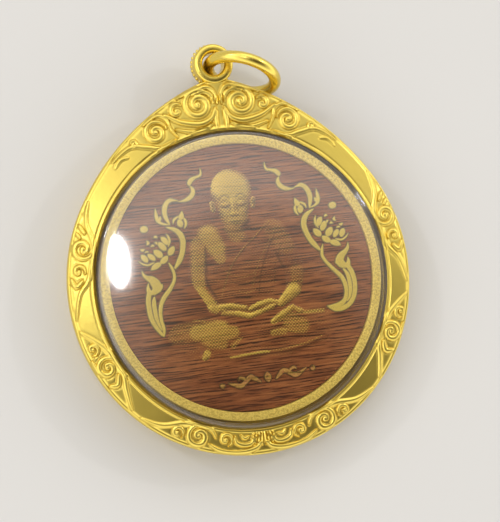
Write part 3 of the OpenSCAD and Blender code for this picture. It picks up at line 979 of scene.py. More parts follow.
        # Painted shade: grooves on the face take the table's shade, and the faces inside the case below the
        # lip a faint, even shade.
        under = (r < self.drum_r - NEAR) & (z < self.lip_z - NEAR)
        deep = np.where(on_face, groove_shade[spot], under * self.under_shade)
        z = np.where(on_face, self.lip_z - fall + table[spot], z)
        return np.column_stack([new_r[:, None] * turned(angle), z]), {"deep": deep}

    def build_frame(self) -> None:
        """Makes the front frame and the drum behind it."""
        spread = [i / self.samples for i in range(self.samples + 1)]
        section = [(self.bore_r, self.bore_chamfer), (self.bore_r, self.frame_z)]
        section += [(self.window_r, self.frame_z), (self.window_r, self.lip_z - self.soften)]
        section += [(between(self.face_r, self.case_r, s), self.lip_z) for s in spread]
        section += [(self.case_r, self.frame_z), (self.drum_r, self.frame_z)]
        section += [(self.drum_r, self.drum_chamfer), (self.drum_r - self.drum_chamfer, 0)]
        section += [(self.bore_r + self.bore_chamfer, 0)]
        finish = Gold("case_gold").material()
        Piece("case_frame", "gold", ("case",)).make(lathe(section, self.stations), finish, self.face)

    def build_bail(self) -> None:
        """Makes the bail with its beads."""
        outer = self.bail_hole_r + self.bail_t
        half = self.bail_depth / 2
        corners = [(self.bail_hole_r, -half), (outer, -half), (outer, half), (self.bail_hole_r, half)]
        bm = lathe(rounded(corners, self.bail_round, 6), 96)
        reach = outer - self.bead_sunk
        for k in range(-self.side_beads, self.side_beads + 1):
            x, y = reach * turned(k * self.bead_step)
            spot = Matrix.Translation((x, y, self.bead_back))
            bmesh.ops.create_uvsphere(bm, u_segments=16, v_segments=10, radius=self.fine_bead_r, matrix=spot)
        top = span("case")[1].y
        middle = Vector((0, top - outer - self.bead_r * 2 / 3, self.frame_z - self.bail_low))
        bmesh.ops.translate(bm, verts=bm.verts, vec=middle)
        Piece("bail", "gold").make(bm, Gold("bail_gold", least_rough=0.19).material())

    def build(self) -> None:
        """Makes the whole case."""
        self.build_frame()
        self.build_bail()


@dataclass
class Back:
    """The back plate with its turned-up seat."""

    back_t: float = 0.8
    seat_w: float = 2.4
    chamfer: float = 0.15

    def build(self) -> None:
        """Makes the back plate."""
        top = span("back_plate")[1]
        r = top.x
        seat_r = r - self.seat_w
        section = [(0, 0), (r - self.chamfer, 0), (r, self.chamfer)]
        section += [(r, top.z), (seat_r, top.z), (seat_r, self.back_t), (0, self.back_t)]
        bm = lathe(section, 256, closed=False)
        Piece("back", "back_gold", ("back_plate",)).make(bm, Gold("back_gold", least_rough=0.22).material())


@dataclass
class Cover:
    """The clear cover: skirt, flange, wall and dome."""

    cover_t: float = 0.6
    flange_t: float = 0.8
    edge_r: float = 0.9
    rise: float = 2.0
    head: float = 0.1
    under_lip: float = 0.05
    past_join: float = 0.4

    def build(self) -> None:
        """Makes the cover."""
        low, high = span("cover")
        flange_r = high.x
        cover_r = flange_r - FLANGE_W
        wall_z = span("medallion_rim")[1].z + self.head
        flange_top = lip_height() - LIP_T - self.under_lip
        flange_low = flange_top - self.flange_t
        corner_x = cover_r - self.edge_r
        top = self.edge_r + self.rise
        dome_r = (corner_x ** 2 + top ** 2 - self.edge_r ** 2) / (2 * self.rise)
        dome_z = wall_z + top - dome_r
        meet = np.degrees(atan2(wall_z - dome_z, corner_x))
        past = meet + self.past_join
        section = [(cover_r - self.cover_t, low.z), (cover_r, low.z), (cover_r, flange_low)]
        section += [(flange_r, flange_low), (flange_r, flange_top), (cover_r, flange_top)]
        section += arc(corner_x, wall_z, self.edge_r, 0, meet, 12)
        section += arc(0, dome_z, dome_r, past, 90, 40)
        section += arc(0, dome_z, dome_r - self.cover_t, 90, past, 40)
        section += arc(corner_x, wall_z, self.edge_r - self.cover_t, meet, 0, 8)
        finish = ClearAcrylic("clear_acrylic").material()
        Piece("cover_dome", "clear", ("cover",), 30).make(lathe(section, 256), finish)


@dataclass
class Medallion:
    """The gold rim and the wood inside it."""

    ledge_w: float = 1.2
    ledge_t: float = 0.6
    rim_round: float = 0.22
    fit: float = 0.05
    chamfer: float = 0.08

    def build(self) -> None:
        """Makes the rim and the wood."""
        low, high = span("medallion_rim")
        disc_low, disc_high = span("medallion_disc")
        shift = (0, (low.y + high.y) / 2, 0)
        rim_r = (high.x - low.x) / 2
        disc_r = (disc_high.x - disc_low.x) / 2
        in_r = disc_r + self.fit
        ledge_r = in_r - self.ledge_w
        ledge_z = low.z + self.ledge_t
        corners = [(ledge_r, low.z), (rim_r, low.z), (rim_r, high.z), (in_r, high.z)]
        corners += [(in_r, ledge_z), (ledge_r, ledge_z)]
        bm = lathe(rounded(corners, self.rim_round, 4), 256)
        bmesh.ops.translate(bm, verts=bm.verts, vec=shift)
        Piece("rim", "rim_gold", ("medallion_rim",)).make(bm, GrainyGold("rim_gold").material())
        section = [(0, disc_low.z), (disc_r, disc_low.z), (disc_r, disc_high.z - self.chamfer)]
        section += [(disc_r - self.chamfer, disc_high.z), (0, disc_high.z)]
        bm = lathe(section, 192, closed=False)
        bmesh.ops.translate(bm, verts=bm.verts, vec=shift)
        Piece("wood_disc", "wood", ("medallion_disc",)).make(bm, Wood("dark_wood").material())


@dataclass(frozen=True)
class Form:
    """A rounded form of the figure or a soft patch of its print.

    It has a start and an end, each with a radius after its place, in hundredths of the wood's radius. The
    amount is its rise in millimetres, or how dense the print's dots are.
    """

    start: Triple
    end: Triple
    amount: float

    def inside(self, spots: np.ndarray) -> np.ndarray:
        """How far inside places lie: 1 on the middle line, 0 on the edge, and below 0 outside."""
        a = np.array(self.start)
        b = np.array(self.end)
        gap, t = from_segment(spots, a[:2], b[:2])
        return 1 - gap / between(a[2], b[2], t)


@dataclass(frozen=True)
class Stroke:
    """A soft line drawn on the figure: half its width, the gold and the dark that it adds, and its places."""

    width: float
    gold: float
    ink: float
    places: tuple[Point, ...]


FORMS = tuple(Form(*row) for row in (
    ((-16, 30, 14), (-9, -14, 15), 0.07), ((16, 30, 14), (9, -14, 15), 0.07),
    ((0, 28, 15), (0, -16, 16), 0.08), ((-2, 41, 8.5), (0, 33, 10), 0.10),
    ((-12, 34, 8.5), (-24, 32, 9.5), 0.12), ((13, 34, 8.5), (27, 31, 10), 0.11),
    ((-28, 31, 8.6), (-34, 6, 6.6), 0.12), ((-34, 4, 6.4), (-24.5, -18, 4.6), 0.14),
    ((-25, -20, 4.4), (-17, -24, 3.4), 0.16), ((30, 30, 9.6), (41, 2, 8), 0.10),
    ((41, 0, 7.4), (38, -13, 6.2), 0.12), ((38, -14, 5.6), (27, -22, 3.8), 0.18),
    ((35, -26.5, 3.0), (27, -31, 3.0), 0.16), ((27, -31, 3.0), (19, -35, 2.2), 0.14),
    ((35, -26.5, 2.4), (41, -30, 2.0), 0.13), ((-21, -20.5, 2.4), (-12, -20.4, 2.6), 0.17),
    ((-12, -20.4, 2.6), (-1, -22.6, 2.2), 0.17), ((-18, -25, 2.1), (-8, -26.2, 2.3), 0.16),
    ((-8, -26.2, 2.3), (2, -29.4, 2.2), 0.17), ((2, -29.4, 2.2), (10, -27.4, 2.1), 0.17),
    ((10, -27.4, 2.1), (22, -23.6, 2.0), 0.16), ((3, -24.2, 1.9), (10, -21.6, 2.4), 0.17),
    ((10, -21.6, 2.4), (18, -19.8, 2.2), 0.17), ((18, -19.8, 2.2), (27, -22, 1.9), 0.16),
    ((-14, -40, 9), (-34, -38, 11.5), 0.10), ((-34, -38, 11.5), (-52, -38.5, 10), 0.06),
    ((14, -42, 9), (36, -39, 11), 0.08), ((36, -39, 11), (56, -39, 10), 0.07),
    ((-44, -50, 7), (-8, -51, 7), 0.05), ((48, -49, 7), (4, -53, 5.6), 0.05),
    ((-20, -57, 4.0), (28, -57, 4.4), 0.07), ((28, -57, 4.4), (56, -50, 4.4), 0.07),
    ((-37, -53, 3.2), (-36, -55.5, 3.0), 0.14), ((-15.8, 57, 2.3), (-15.2, 52, 1.9), 0.13),
    ((15.8, 57, 2.3), (15.2, 52, 1.9), 0.13), ((0, 66, 15.6), (0, 64.5, 15.8), 0.21),
    ((0, 60, 15.2), (0, 47, 10.4), 0.20),
))
PATCHES = tuple(Form(*row) for row in (
    ((-4, 70, 14), (1, 66, 15.4), 0.74), ((0, 62, 15.6), (0, 48, 11.5), 0.50),
    ((-15.8, 57, 2.6), (-15.2, 52, 2.2), 0.42), ((15.8, 57, 2.6), (15.2, 52, 2.2), 0.34),
    ((-3, 38, 7), (0, 32, 7), 0.22), ((-22, 34, 9), (-17, 24, 8), 0.46), ((-17, 24, 7), (-15, 16, 5), 0.36),
    ((-30, 28, 7), (-33, 8, 6), 0.32), ((-33, 8, 6), (-34, -6, 5.5), 0.36),
    ((-34, -7, 5.6), (-24, -21, 4.4), 0.54), ((-24, -20.5, 3), (-12, -20.6, 3), 0.56),
    ((-12, -20.6, 3), (-1, -23, 2.4), 0.56), ((-18, -25, 2.2), (-8, -26.2, 2.4), 0.50),
    ((-8, -26.2, 2.5), (2, -29.2, 2.6), 0.66), ((2, -29.2, 2.6), (10, -27.2, 2.3), 0.60),
    ((10, -27.2, 2.2), (20, -24.4, 2.0), 0.46), ((3, -24.2, 2.2), (10, -21.6, 2.8), 0.60),
    ((10, -21.6, 2.8), (19, -20.6, 3.0), 0.62), ((19, -20.6, 2.6), (27, -22.4, 2.4), 0.56),
    ((27, -22.4, 3.6), (38, -13.6, 6.2), 0.66), ((41, -12, 5), (42, 0, 6), 0.14),
    ((19, -35.5, 2.6), (27, -31.2, 3.6), 0.60), ((27, -31.2, 3.4), (35, -26.8, 2.6), 0.52),
    ((35, -26.8, 2.2), (41, -30, 2.4), 0.50), ((44, -31.4, 1.6), (58, -31.8, 1.8), 0.34),
    ((-40, -37, 7), (-22, -36, 8), 0.46), ((-30, -40, 10), (-12, -39.5, 5), 0.40),
    ((-30, -44, 7), (-22, -47, 5), 0.32), ((-44, -35, 9), (-56, -36, 8), 0.14),
    ((-34, -53, 3.2), (-36, -56, 2.8), 0.60), ((33, -38, 8), (40, -41, 7), 0.26),
    ((18, -44, 3), (26, -43.4, 3.4), 0.30), ((-14, -50, 2.6), (-9, -45.5, 2.2), 0.20),
    ((28, 34, 9), (36, 20, 8), 0.10),
))

# The face's forms: place, half widths and rise. One beside the middle stands for one on each side.
FACE = (
    (0, 57.5, 1.5, 4.5, 0.05), (0, 52.4, 1.7, 5.4, 0.07), (0, 47.8, 2.7, 1.9, 0.09),
    (2.6, 47.4, 1.5, 1.3, 0.04), (6.2, 60, 4.6, 1.6, 0.05), (6.2, 55.2, 3.5, 2.3, 0.07),
    (8, 48.6, 4.6, 4.2, 0.05), (0, 42.7, 4.2, 0.9, 0.05), (0, 40.6, 3.2, 1.1, 0.06),
    (0, 37.4, 3.6, 2.4, 0.05),
)

# The strokes: half width, gold, dark and places. Each of the first ones has a mirror image.
PAIRED_STROKES = (
    (0.85, 0, 1.0, ((9.8, 54.6), (7.8, 53.3), (6.0, 53.0), (4.2, 53.4), (2.8, 54.4))),
    (0.6, 0, 0.5, ((9.6, 56.6), (6.4, 57.8), (3.2, 56.6))),
    (0.9, 0, 0.7, ((10.8, 59.2), (7.6, 61.6), (4.6, 61.6), (2.2, 59.8))),
    (0.7, 0, 0.75, ((3.2, 47.0), (1.6, 45.9), (0.6, 46.2))),
    (0.6, 0, 0.35, ((5.4, 46.6), (6.6, 43.6))),
    (0.7, 0, 0.6, ((16.4, 57.6), (15.4, 55.4), (15.9, 53))),
)
STROKES = (
    (0.8, 0, 0.95, ((-4.4, 42.0), (-1.8, 41.5), (0, 41.8), (1.8, 41.5), (4.4, 42.0))),
    (0.7, 0, 0.5, ((-2.2, 38.7), (0, 38.3), (2.2, 38.7))),
    (0.9, 0, 0.4, ((-2.6, 57), (-2.3, 53), (-2.9, 49.4))),
    (1.1, 0, 0.5, ((2.5, 57), (2.3, 53), (3.1, 49.4))),
    (1.6, 0, 0.7, ((13.2, 52), (11.6, 45), (8, 39.4), (3, 36.8))),
    (1.6, 0, 0.5, ((-11, 37), (-4, 34.6), (5, 34.4), (11, 37))),
    (0.6, 0.22, 0, ((26, 40), (14, 30), (2, 20), (-8, 8), (-15, -6), (-18, -14))),
    (0.7, 0, 0.5, ((25, 38), (13, 28), (1, 18), (-9, 6), (-16, -8))),
    (0.6, 0.12, 0.2, ((31, 36), (22, 22), (12, 6), (6, -10))),
    (0.8, 0, 0.45, ((29, 30), (21, 16), (14, 0), (11, -14))), (0.8, 0, 0.45, ((33, 22), (27, 8), (24, -8))),
    (0.6, 0.12, 0, ((-14, 8), (-7, 2), (2, 0), (10, 3))),
    (0.8, 0, 0.4, ((-12, 1), (-5, -4), (4, -5), (12, -2))),
    (0.8, 0, 0.45, ((-10, -12), (-3, -15), (5, -15))), (0.6, 0.14, 0, ((-5, -10), (2, -12), (9, -10))),
    (1.6, 0, 0.6, ((-25.4, 26), (-26.6, 10), (-27, -2), (-21.5, -13))),
    (1.6, 0, 0.55, ((28, 16), (31.6, 2), (30, -9))), (0.45, 0, 0.7, ((-22.6, -24.6), (-19.6, -27.6))),
    (0.45, 0, 0.7, ((-20.2, -22.8), (-16.8, -25.6))), (0.45, 0, 0.7, ((31.6, -20.8), (27.4, -23.6))),
    (0.45, 0, 0.7, ((32.8, -17.4), (27.6, -20.6))), (0.4, 0, 0.6, ((27, -31.6), (20, -35))),
    (0.4, 0, 0.6, ((26.4, -29.4), (19.4, -32.6))),
    (0.6, 0.4, 0, ((-57, -29.6), (-45, -27.2), (-32, -29.6))),
    (0.8, 0, 0.5, ((-58, -31.4), (-45, -29.2), (-33, -31.4))),
    (0.5, 0.2, 0.1, ((-54, -36), (-42, -33), (-30, -34))),
    (0.7, 0, 0.45, ((-56, -43), (-42, -45), (-30, -49), (-16, -47))),
    (0.6, 0.3, 0, ((15, -43.6), (22, -42), (29, -43.2), (36, -45.4))),
    (0.8, 0, 0.55, ((14, -41.6), (22, -40.2), (30, -41.2))),
    (0.6, 0.2, 0, ((30, -31), (42, -32), (56, -31))), (0.8, 0, 0.5, ((30, -33), (43, -34.4), (60, -33.6))),
    (0.6, 0, 0.4, ((20, -48), (34, -50), (50, -47))), (0.7, 0.2, 0, ((-15, -50), (-9, -46), (-3, -43))),
    (1.0, 0.9, 0, ((-17, -58.2), (-6, -57.6), (8, -57), (13, -57.4))),
    (0.8, 0.25, 0, ((13, -57.2), (24, -57), (36, -55.2), (46, -53.2), (55, -50.4))),
    (0.9, 0, 0.75, ((-14, -60), (-4, -59.4), (10, -58.8), (26, -58.6), (40, -56.8), (55, -52.6))),
)


@dataclass
class Picture:
    """Where the picture on the wood lies: its unit is a hundredth of the wood's radius."""

    sink: float = 0.12
    bare_below: float = 0.001
    unit: float = field(init=False)
    middle: Vector = field(init=False)
    wood_z: float = field(init=False)

    def __post_init__(self) -> None:
        """Reads the wood's place from the frame."""
        low, high = span("medallion_disc")
        self.unit = (high.x - low.x) / 200
        self.middle = (low + high) / 2
        self.wood_z = high.z

    def units(self, co: np.ndarray) -> np.ndarray:
        """Places in millimetres as places on the picture."""
        return (co[:, :2] - np.array(self.middle[:2])) / self.unit

    def sheet(
        self, low: Point, high: Point, pitch: float, rise: Callable[[np.ndarray], np.ndarray]
    ) -> bmesh.types.BMesh:
        """A closed sheet that stands out of the wood where its rise is above nothing.

        Args:
            low: the lowest corner of its field on the picture.
            high: the highest corner.
            pitch: the distance between its places, in picture units.
            rise: gives the height over the wood in millimetres at places on the picture.

        Returns:
            The sheet in millimetres.
        """
        bm = bmesh.new()
        across = round((high[0] - low[0]) / pitch)
        up = round((high[1] - low[1]) / pitch)
        bmesh.ops.create_grid(bm, x_segments=across, y_segments=up, size=1)
        flat = np.array([v.co[:2] for v in bm.verts])
        spots = np.array(low) + (flat + 1) / 2 * (np.array(high) - np.array(low))
        heights = rise(spots)
        for v, (x, y), z in zip(bm.verts, spots * self.unit, heights):
            v.co = (x + self.middle.x, y + self.middle.y, self.wood_z + z)
        floor = self.wood_z + self.bare_below
        bare = [f for f in bm.faces if max(v.co.z for v in f.verts) < floor]
        bmesh.ops.delete(bm, geom=bare, context="FACES")
        raised = bmesh.ops.extrude_face_region(bm, geom=bm.faces[:])["geom"]
        for v in raised:
            if isinstance(v, bmesh.types.BMVert):
                v.co.z = self.wood_z - self.sink
        bmesh.ops.recalc_face_normals(bm, faces=bm.faces)
        return bm


@dataclass
class Figure:
    """The seated figure, raised out of the wood and printed on it in gold dots."""

    pitch: float = 0.66
    blend: float = 0.014
    drama: float = 2.0
    fullness: float = 1.35
    fall_outside: float = 0.15
    most_blend: float = 0.02
    face_share: float = 0.9
    stroke_h: float = 0.05
    slope_step: float = 0.7
    light_from: Triple = (0.5, -0.62, 0.6)
    shade_tone: float = 0.62
    light_tone: float = 0.6
    dark_below: float = 0.52
    dark_gain: float = 1.1
    strokes: list[Stroke] = field(init=False)

    def __post_init__(self) -> None:
        """Gathers the strokes, each paired one with its mirror image."""
        self.strokes = [
            Stroke(width, gold, ink, tuple((side * x, y) for x, y in places))
            for width, gold, ink, places in PAIRED_STROKES
            for side in (1, -1)
        ]
        self.strokes += [Stroke(*row) for row in STROKES]

    def heights(self, spots: np.ndarray) -> np.ndarray:
        """The rise of the figure's forms in millimetres at places on the picture."""
        weight = np.zeros(len(spots))
        top = np.full(len(spots), -1.0)
        for form in FORMS:
            inside = form.inside(spots)
            round_top = (np.maximum(inside, 0) * (2 - np.maximum(inside, 0))) ** 0.9
            outside = np.maximum(inside, -1) * self.fall_outside
            rise = np.where(inside > 0, self.fullness * form.amount * round_top, outside)
            weight += np.exp(rise / self.blend)
            top = np.maximum(top, rise)
        best = np.minimum(np.log(weight) * self.blend, top + self.most_blend)
        for x, y, rx, ry, add in FACE:
            for middle_x in sorted({x, -x}):
                near = 1 - ((spots[:, 0] - middle_x) / rx) ** 2 - ((spots[:, 1] - y) / ry) ** 2
                best = best + self.face_share * add * np.clip(near, 0, 1) ** 1.2
        return np.clip(best, -0.05, 1)

    def print_tone(self, spots: np.ndarray) -> np.ndarray:
        """How dense the print's dots are at places on the picture."""
        tone = np.zeros(len(spots))
        for patch in PATCHES:
            tone = np.maximum(tone, patch.amount * ease(patch.inside(spots), -0.12, 0.45))
        return tone

    def drawn(self, spots: np.ndarray) -> Iterator[tuple[Stroke, np.ndarray]]:
        """Each stroke, with how strongly it marks the places."""
        for stroke in self.strokes:
            yield stroke, ridge(spots, smooth_rows(stroke.places, 6), stroke.width, 1.0)

    def rise(self, spots: np.ndarray) -> np.ndarray:
        """The figure's height over the wood, in millimetres."""
        best = self.heights(spots)
        for stroke, line in self.drawn(spots):
            best = best + line * self.stroke_h * (stroke.gold - stroke.ink) * (best > 0.06)
        return best

    def dress(self, picture: Picture, co: np.ndarray) -> Dressed:
        """Works out the gold dots and the dark of the print at each place."""
        spots = picture.units(co)
        step = self.slope_step
        here = self.heights(spots)
        slope_x, slope_y = (
            self.drama * (self.heights(spots + shift) - here) / (step * picture.unit)
            for shift in ((step, 0), (0, step))
        )
        from_x, from_y, from_z = self.light_from
        light = (from_x * slope_x + from_y * slope_y + from_z) / np.sqrt(1 + slope_x ** 2 + slope_y ** 2)
        light = np.clip(light, 0, 1)
        tone = self.print_tone(spots) * (self.shade_tone + self.light_tone * light)
        ink = self.dark_gain * np.clip(self.dark_below - light, 0, 1)
        for stroke, line in self.drawn(spots):
            tone = tone * (1 - 0.3 * stroke.ink * line) + stroke.gold * line
            ink = np.maximum(ink, stroke.ink * line)
        edge = ease(here, 0.0, 0.02)
        return co, {"tone": np.clip(tone * edge, 0, 0.8), "ink": np.clip(ink * edge, 0, 0.9)}

    def build(self, picture: Picture) -> None:
        """Makes the figure."""
        bm = picture.sheet((-68, -63), (70, 84), self.pitch, self.rise)
        finish = Wood("printed_wood", printed=True).material()
        piece = Piece("seated_figure", "gold_print", ("monk_figure",))
        piece.make(bm, finish, lambda co: self.dress(picture, co))


# The blades of the sprays and of the flourish: places and half widths on the picture.
STEMS: tuple[Rows, ...] = (
    ((-21.5, 84, 0.1), (-21.3, 81, 0.6), (-22.4, 78.8, 0.8), (-25.5, 77.8, 0.9), (-29, 76.4, 1.5),
     (-30.9, 74.2, 1.5), (-31, 72.6, 0.4)),
    ((-30.6, 71.6, 0.2), (-29.2, 69.5, 1.1), (-29.2, 66.5, 1.5), (-31.5, 63.6, 1.6), (-35, 61.9, 1.2),
     (-38.5, 61.3, 0.5), (-41, 61.4, 0.2)),
    ((-41.5, 62, 0.2), (-44, 62.5, 0.6), (-46.8, 62.9, 1.3), (-49.5, 61.6, 1.5), (-51.6, 58.5, 1.7),
     (-52.5, 54.5, 1.7), (-52, 50.5, 1.4), (-50.6, 47, 0.9), (-49.8, 45, 0.3)),
    ((-59, 57.8, 0.1), (-59, 54, 1.0), (-58.7, 50.5, 1.3), (-57.6, 47.9, 1.1), (-54.5, 45.9, 0.7),
     (-50, 44.9, 0.2)),
    ((-56, 51.4, 0.3), (-56.7, 49.9, 1.2), (-57.5, 48.4, 0.9)),
    ((-42.3, 46.7, 1.3), (-41.8, 45, 2.2), (-41.3, 43.5, 1.3)),
    ((-39.4, 53.8, 0.1), (-39.8, 51.6, 1.2), (-40.5, 49.6, 1.9), (-41, 48.8, 0.9)),
    ((-47, 45.4, 0.2), (-46.3, 47.9, 0.8), (-44.2, 49.5, 0.7), (-42.6, 50.2, 0.3)),
    ((-38.9, 41.2, 0.2), (-37.6, 43.8, 0.8), (-37.6, 46.4, 0.9), (-38.5, 48.6, 0.3)),
    ((-52.6, 43.3, 0.2), (-49.5, 42.2, 0.9), (-46, 40.4, 1.5), (-43, 37.2, 1.9), (-41.5, 33, 1.9),
     (-41.9, 28, 1.8), (-43.4, 22.5, 1.7), (-46, 17.6, 1.7), (-49.3, 13.2, 0.9), (-50, 12.4, 0.3)),
    ((-69.8, 43.6, 2.4), (-69, 43.6, 2.4)),
)
BLOOM: tuple[Rows, ...] = (
    ((-57.4, 36.2, 0.3), (-55.7, 34.5, 1.8), (-54.3, 32.4, 1.8), (-53.4, 30.6, 0.4)),
    ((-53.2, 38.2, 0.1), (-51.9, 35.8, 0.7), (-51.5, 33, 0.8), (-52.4, 30.2, 0.5), (-53, 29, 0.2)),
    ((-59.6, 32.6, 0.4), (-58.4, 30.7, 1.9), (-56.6, 28.4, 1.9), (-55.2, 26.6, 0.4)),
    ((-48.9, 28.5, 0.2), (-50.1, 26.8, 1.7), (-51.6, 24.8, 2.2), (-53.2, 22.9, 0.5)),
    ((-63.9, 27.1, 0.4), (-62.1, 25.4, 2.1), (-60.3, 23.7, 2.3), (-58.9, 21.9, 0.5)),
    ((-68.7, 24.7, 0.4), (-67.3, 23.3, 1.7), (-65.6, 21.7, 1.7), (-64.2, 20.2, 0.4)),
    ((-73.7, 24.5, 0.5), (-72.4, 22.9, 1.9), (-71.1, 21.1, 1.8), (-70.2, 19.5, 0.5)),
    ((-60, 17.4, 0.5), (-58.2, 18.6, 1.9), (-56.4, 20, 2.0), (-54.6, 21.8, 0.4)),
    ((-68, 13.1, 0.1), (-65.9, 14.5, 1.5), (-63.7, 15.7, 2.1), (-61.4, 16.6, 1.4), (-60.6, 16.9, 0.3)),
    ((-76.5, 20.6, 0.1), (-73.6, 18.2, 0.5), (-70, 17.0, 0.6), (-66.6, 17.8, 0.5), (-65, 18.5, 0.2)),
    ((-68.4, 34.6, 0.3), (-67.6, 33.2, 0.9), (-68.6, 32, 0.3)),
    ((-73.8, 28.9, 0.3), (-72.6, 28.3, 0.9), (-71.2, 28.7, 0.3)),
    ((-71, 26.5, 0.2), (-69.6, 26.9, 0.6), (-68.3, 26.6, 0.2)),
    ((-65.8, 30.3, 0.2), (-64.6, 31, 0.7), (-63.4, 30.5, 0.2)),
    ((-62.8, 36.8, 0.2), (-61.5, 37.1, 0.8), (-60.5, 36.3, 0.2)),
    ((-62.6, 33.2, 0.2), (-61.6, 32.6, 0.7), (-61, 31.4, 0.2)),
)
FLAME_LEFT: tuple[Rows, ...] = (
    ((-54.2, 16.8, 0.2), (-52.6, 13.5, 0.8), (-51.4, 9.5, 0.9), (-51.4, 5, 1.0), (-53.2, 1, 1.1),
     (-56.6, -3.5, 1.4), (-60.8, -8, 1.5), (-63.8, -13, 1.4), (-65.2, -19, 1.2), (-65.2, -25, 1.1),
     (-64.2, -31, 1.1), (-64.6, -35.6, 0.5)),
    ((-74.9, 13, 0.1), (-74, 10, 0.9), (-71.6, 7.6, 1.5), (-68.4, 5.8, 2.6), (-66, 2.6, 3.4),
     (-65.4, -0.6, 3.2),
     (-68, -3.4, 2.0)),
    ((-61.4, 1.6, 0.3), (-62.4, 0.2, 1.5), (-64.6, -2, 2.0)),
    ((-71.4, 3.2, 0.2), (-72, 0, 1.1), (-71.2, -3.2, 1.7), (-69, -3.6, 1.6)),
    ((-71.4, -3, 1.6), (-73, -9, 1.7), (-73.2, -16, 1.6), (-72.5, -22, 1.6), (-70.8, -27, 1.4),
     (-68.4, -31.4, 1.2), (-66, -35, 0.9), (-64.6, -36.4, 0.3)),
    ((-68.4, -7.4, 0.6), (-69, -11, 1.4), (-69.1, -16, 1.5), (-68.7, -22, 1.4), (-67.6, -27, 1.0),
     (-65.9, -31.6, 0.4)),
)
FLAME_RIGHT: tuple[Rows, ...] = (
    ((64.6, 17.2, 0.2), (63.4, 13, 0.9), (63.1, 9, 1.0), (64.8, 5, 1.0), (68.4, 0.2, 1.1), (72.5, -4.5, 1.3),
     (76.1, -9, 1.4), (77.8, -14, 1.4), (78.1, -19, 1.3), (77.1, -24, 1.4), (74.6, -27.4, 1.6),
     (70.5, -29.4, 1.7),
     (65.2, -29.6, 0.9), (62.1, -29.2, 0.2)),
    ((84.3, 16.4, 0.1), (83.6, 13, 1.0), (81.3, 10, 1.6), (78.2, 7.6, 2.4), (76.1, 4.2, 3.0),
     (77.1, 1.2, 2.8),
     (79.9, -0.6, 1.8)),
    ((72.8, 3, 0.3), (74.0, 2.4, 1.2), (76.3, 2, 1.6)),
    ((82.6, 5.4, 0.2), (82.8, 2.4, 1.2), (81.7, -0.6, 1.8)),
    ((81.3, 0, 1.6), (84.0, -5.4, 1.7), (85.3, -12, 1.6), (84.9, -19, 1.6), (82.8, -25, 1.6),
     (79.0, -29.6, 1.6),
     (73.6, -32, 1.7), (68.4, -32.4, 1.4), (64.6, -31, 0.7), (62.7, -29.8, 0.2)),
    ((78.2, -3, 0.6), (80.7, -7.4, 1.3), (81.5, -13, 1.4), (81.3, -19, 1.3), (79.9, -24, 0.9),
     (77.8, -27, 0.4)),
)
WAVE: Rows = (
    (6, -2.5, 0.3), (9, 0, 1.2), (13, 2.5, 1.6), (17, 0, 1.4), (21, -2.5, 1.6), (25.5, -1.2, 1.2),
    (30, 1, 0.2)
)
TENDRIL: Rows = ((17, 0.4, 0.3), (18.6, 2.6, 0.9), (21, 3.2, 0.9), (22.4, 2, 0.3))


@dataclass
class Blades:
    """Raised blades on the wood, each given by places and half widths on the picture."""

    shapes: Sequence[Rows]
    rise: float = 0.2
    edge: float = 1.1
    flank_w: float = 0.7

    def depth(self, spots: np.ndarray) -> np.ndarray:
        """How far inside the blades places lie, in picture units, and -1 far from all of them."""
        depth = np.full(len(spots), -1.0)
        for rows in self.shapes:
            path = smooth_rows(rows, 5)
            index = close_to(spots, path[:, :2], path[:, 2].max() + 1)
            p = spots[index]
            best = np.full(len(index), -1.0)
            for a, b in zip(path, path[1:]):
                gap, t = from_segment(p, a[:2], b[:2])
                best = np.maximum(best, between(a[2], b[2], t) - gap)
            depth[index] = np.maximum(depth[index], best)
        return depth

    def heights(self, spots: np.ndarray) -> np.ndarray:
        """The height of the blades over the wood, in millimetres."""
        depth = self.depth(spots) + self.flank_w
        inner = np.clip(depth / self.edge, 0, 1)
        return np.where(depth > 0, self.rise * (1 - (1 - inner) ** 2) ** 0.5, np.maximum(depth, -0.5) * 0.1)

    def dress(self, picture: Picture, co: np.ndarray) -> Dressed:
        """Marks the side of the raised wood, which the gold doesn't cover and which is painted very dark:
        partly bare wood, partly painted shade.
        """
        return co, {"flank": 0.9 * (1 - ease(self.depth(picture.units(co)), -0.35, 0.3))}

    def make(
        self,
        picture: Picture,
        piece: Piece,
        finish: bpy.types.Material,
        low: Point,
        high: Point,
        pitch: float,
    ) -> None:
        """Makes the blades as one piece, in a field between two corners of the picture."""
        bm = picture.sheet(low, high, pitch, self.heights)
        piece.make(bm, finish, lambda co: self.dress(picture, co))


@dataclass
class Sprays:
    """The two lotus sprays in gold print."""

    pitch: float = 0.45

    @staticmethod
    def other_side(rows: Rows) -> Rows:
        """A blade of the left spray as it lies in the right one, which leans a little more."""
        return tuple((18.1 - 0.91 * x - 0.115 * y, y - 2 - 0.06 * x, w) for x, y, w in rows)

    def build(self, picture: Picture) -> None:
        """Makes both sprays."""
        finish = PrintedGold("printed_gold").material()
        left = Blades(STEMS + BLOOM + FLAME_LEFT)
        right = Blades(tuple(self.other_side(rows) for rows in STEMS + BLOOM) + FLAME_RIGHT)
        piece = Piece("spray_left", "gold_print", ("lotus_left",))
        left.make(picture, piece, finish, (-80, -40), (-17, 88), self.pitch)
        piece = Piece("spray_right", "gold_print", ("lotus_right",))
        right.make(picture, piece, finish, (20, -37), (90, 88), self.pitch)


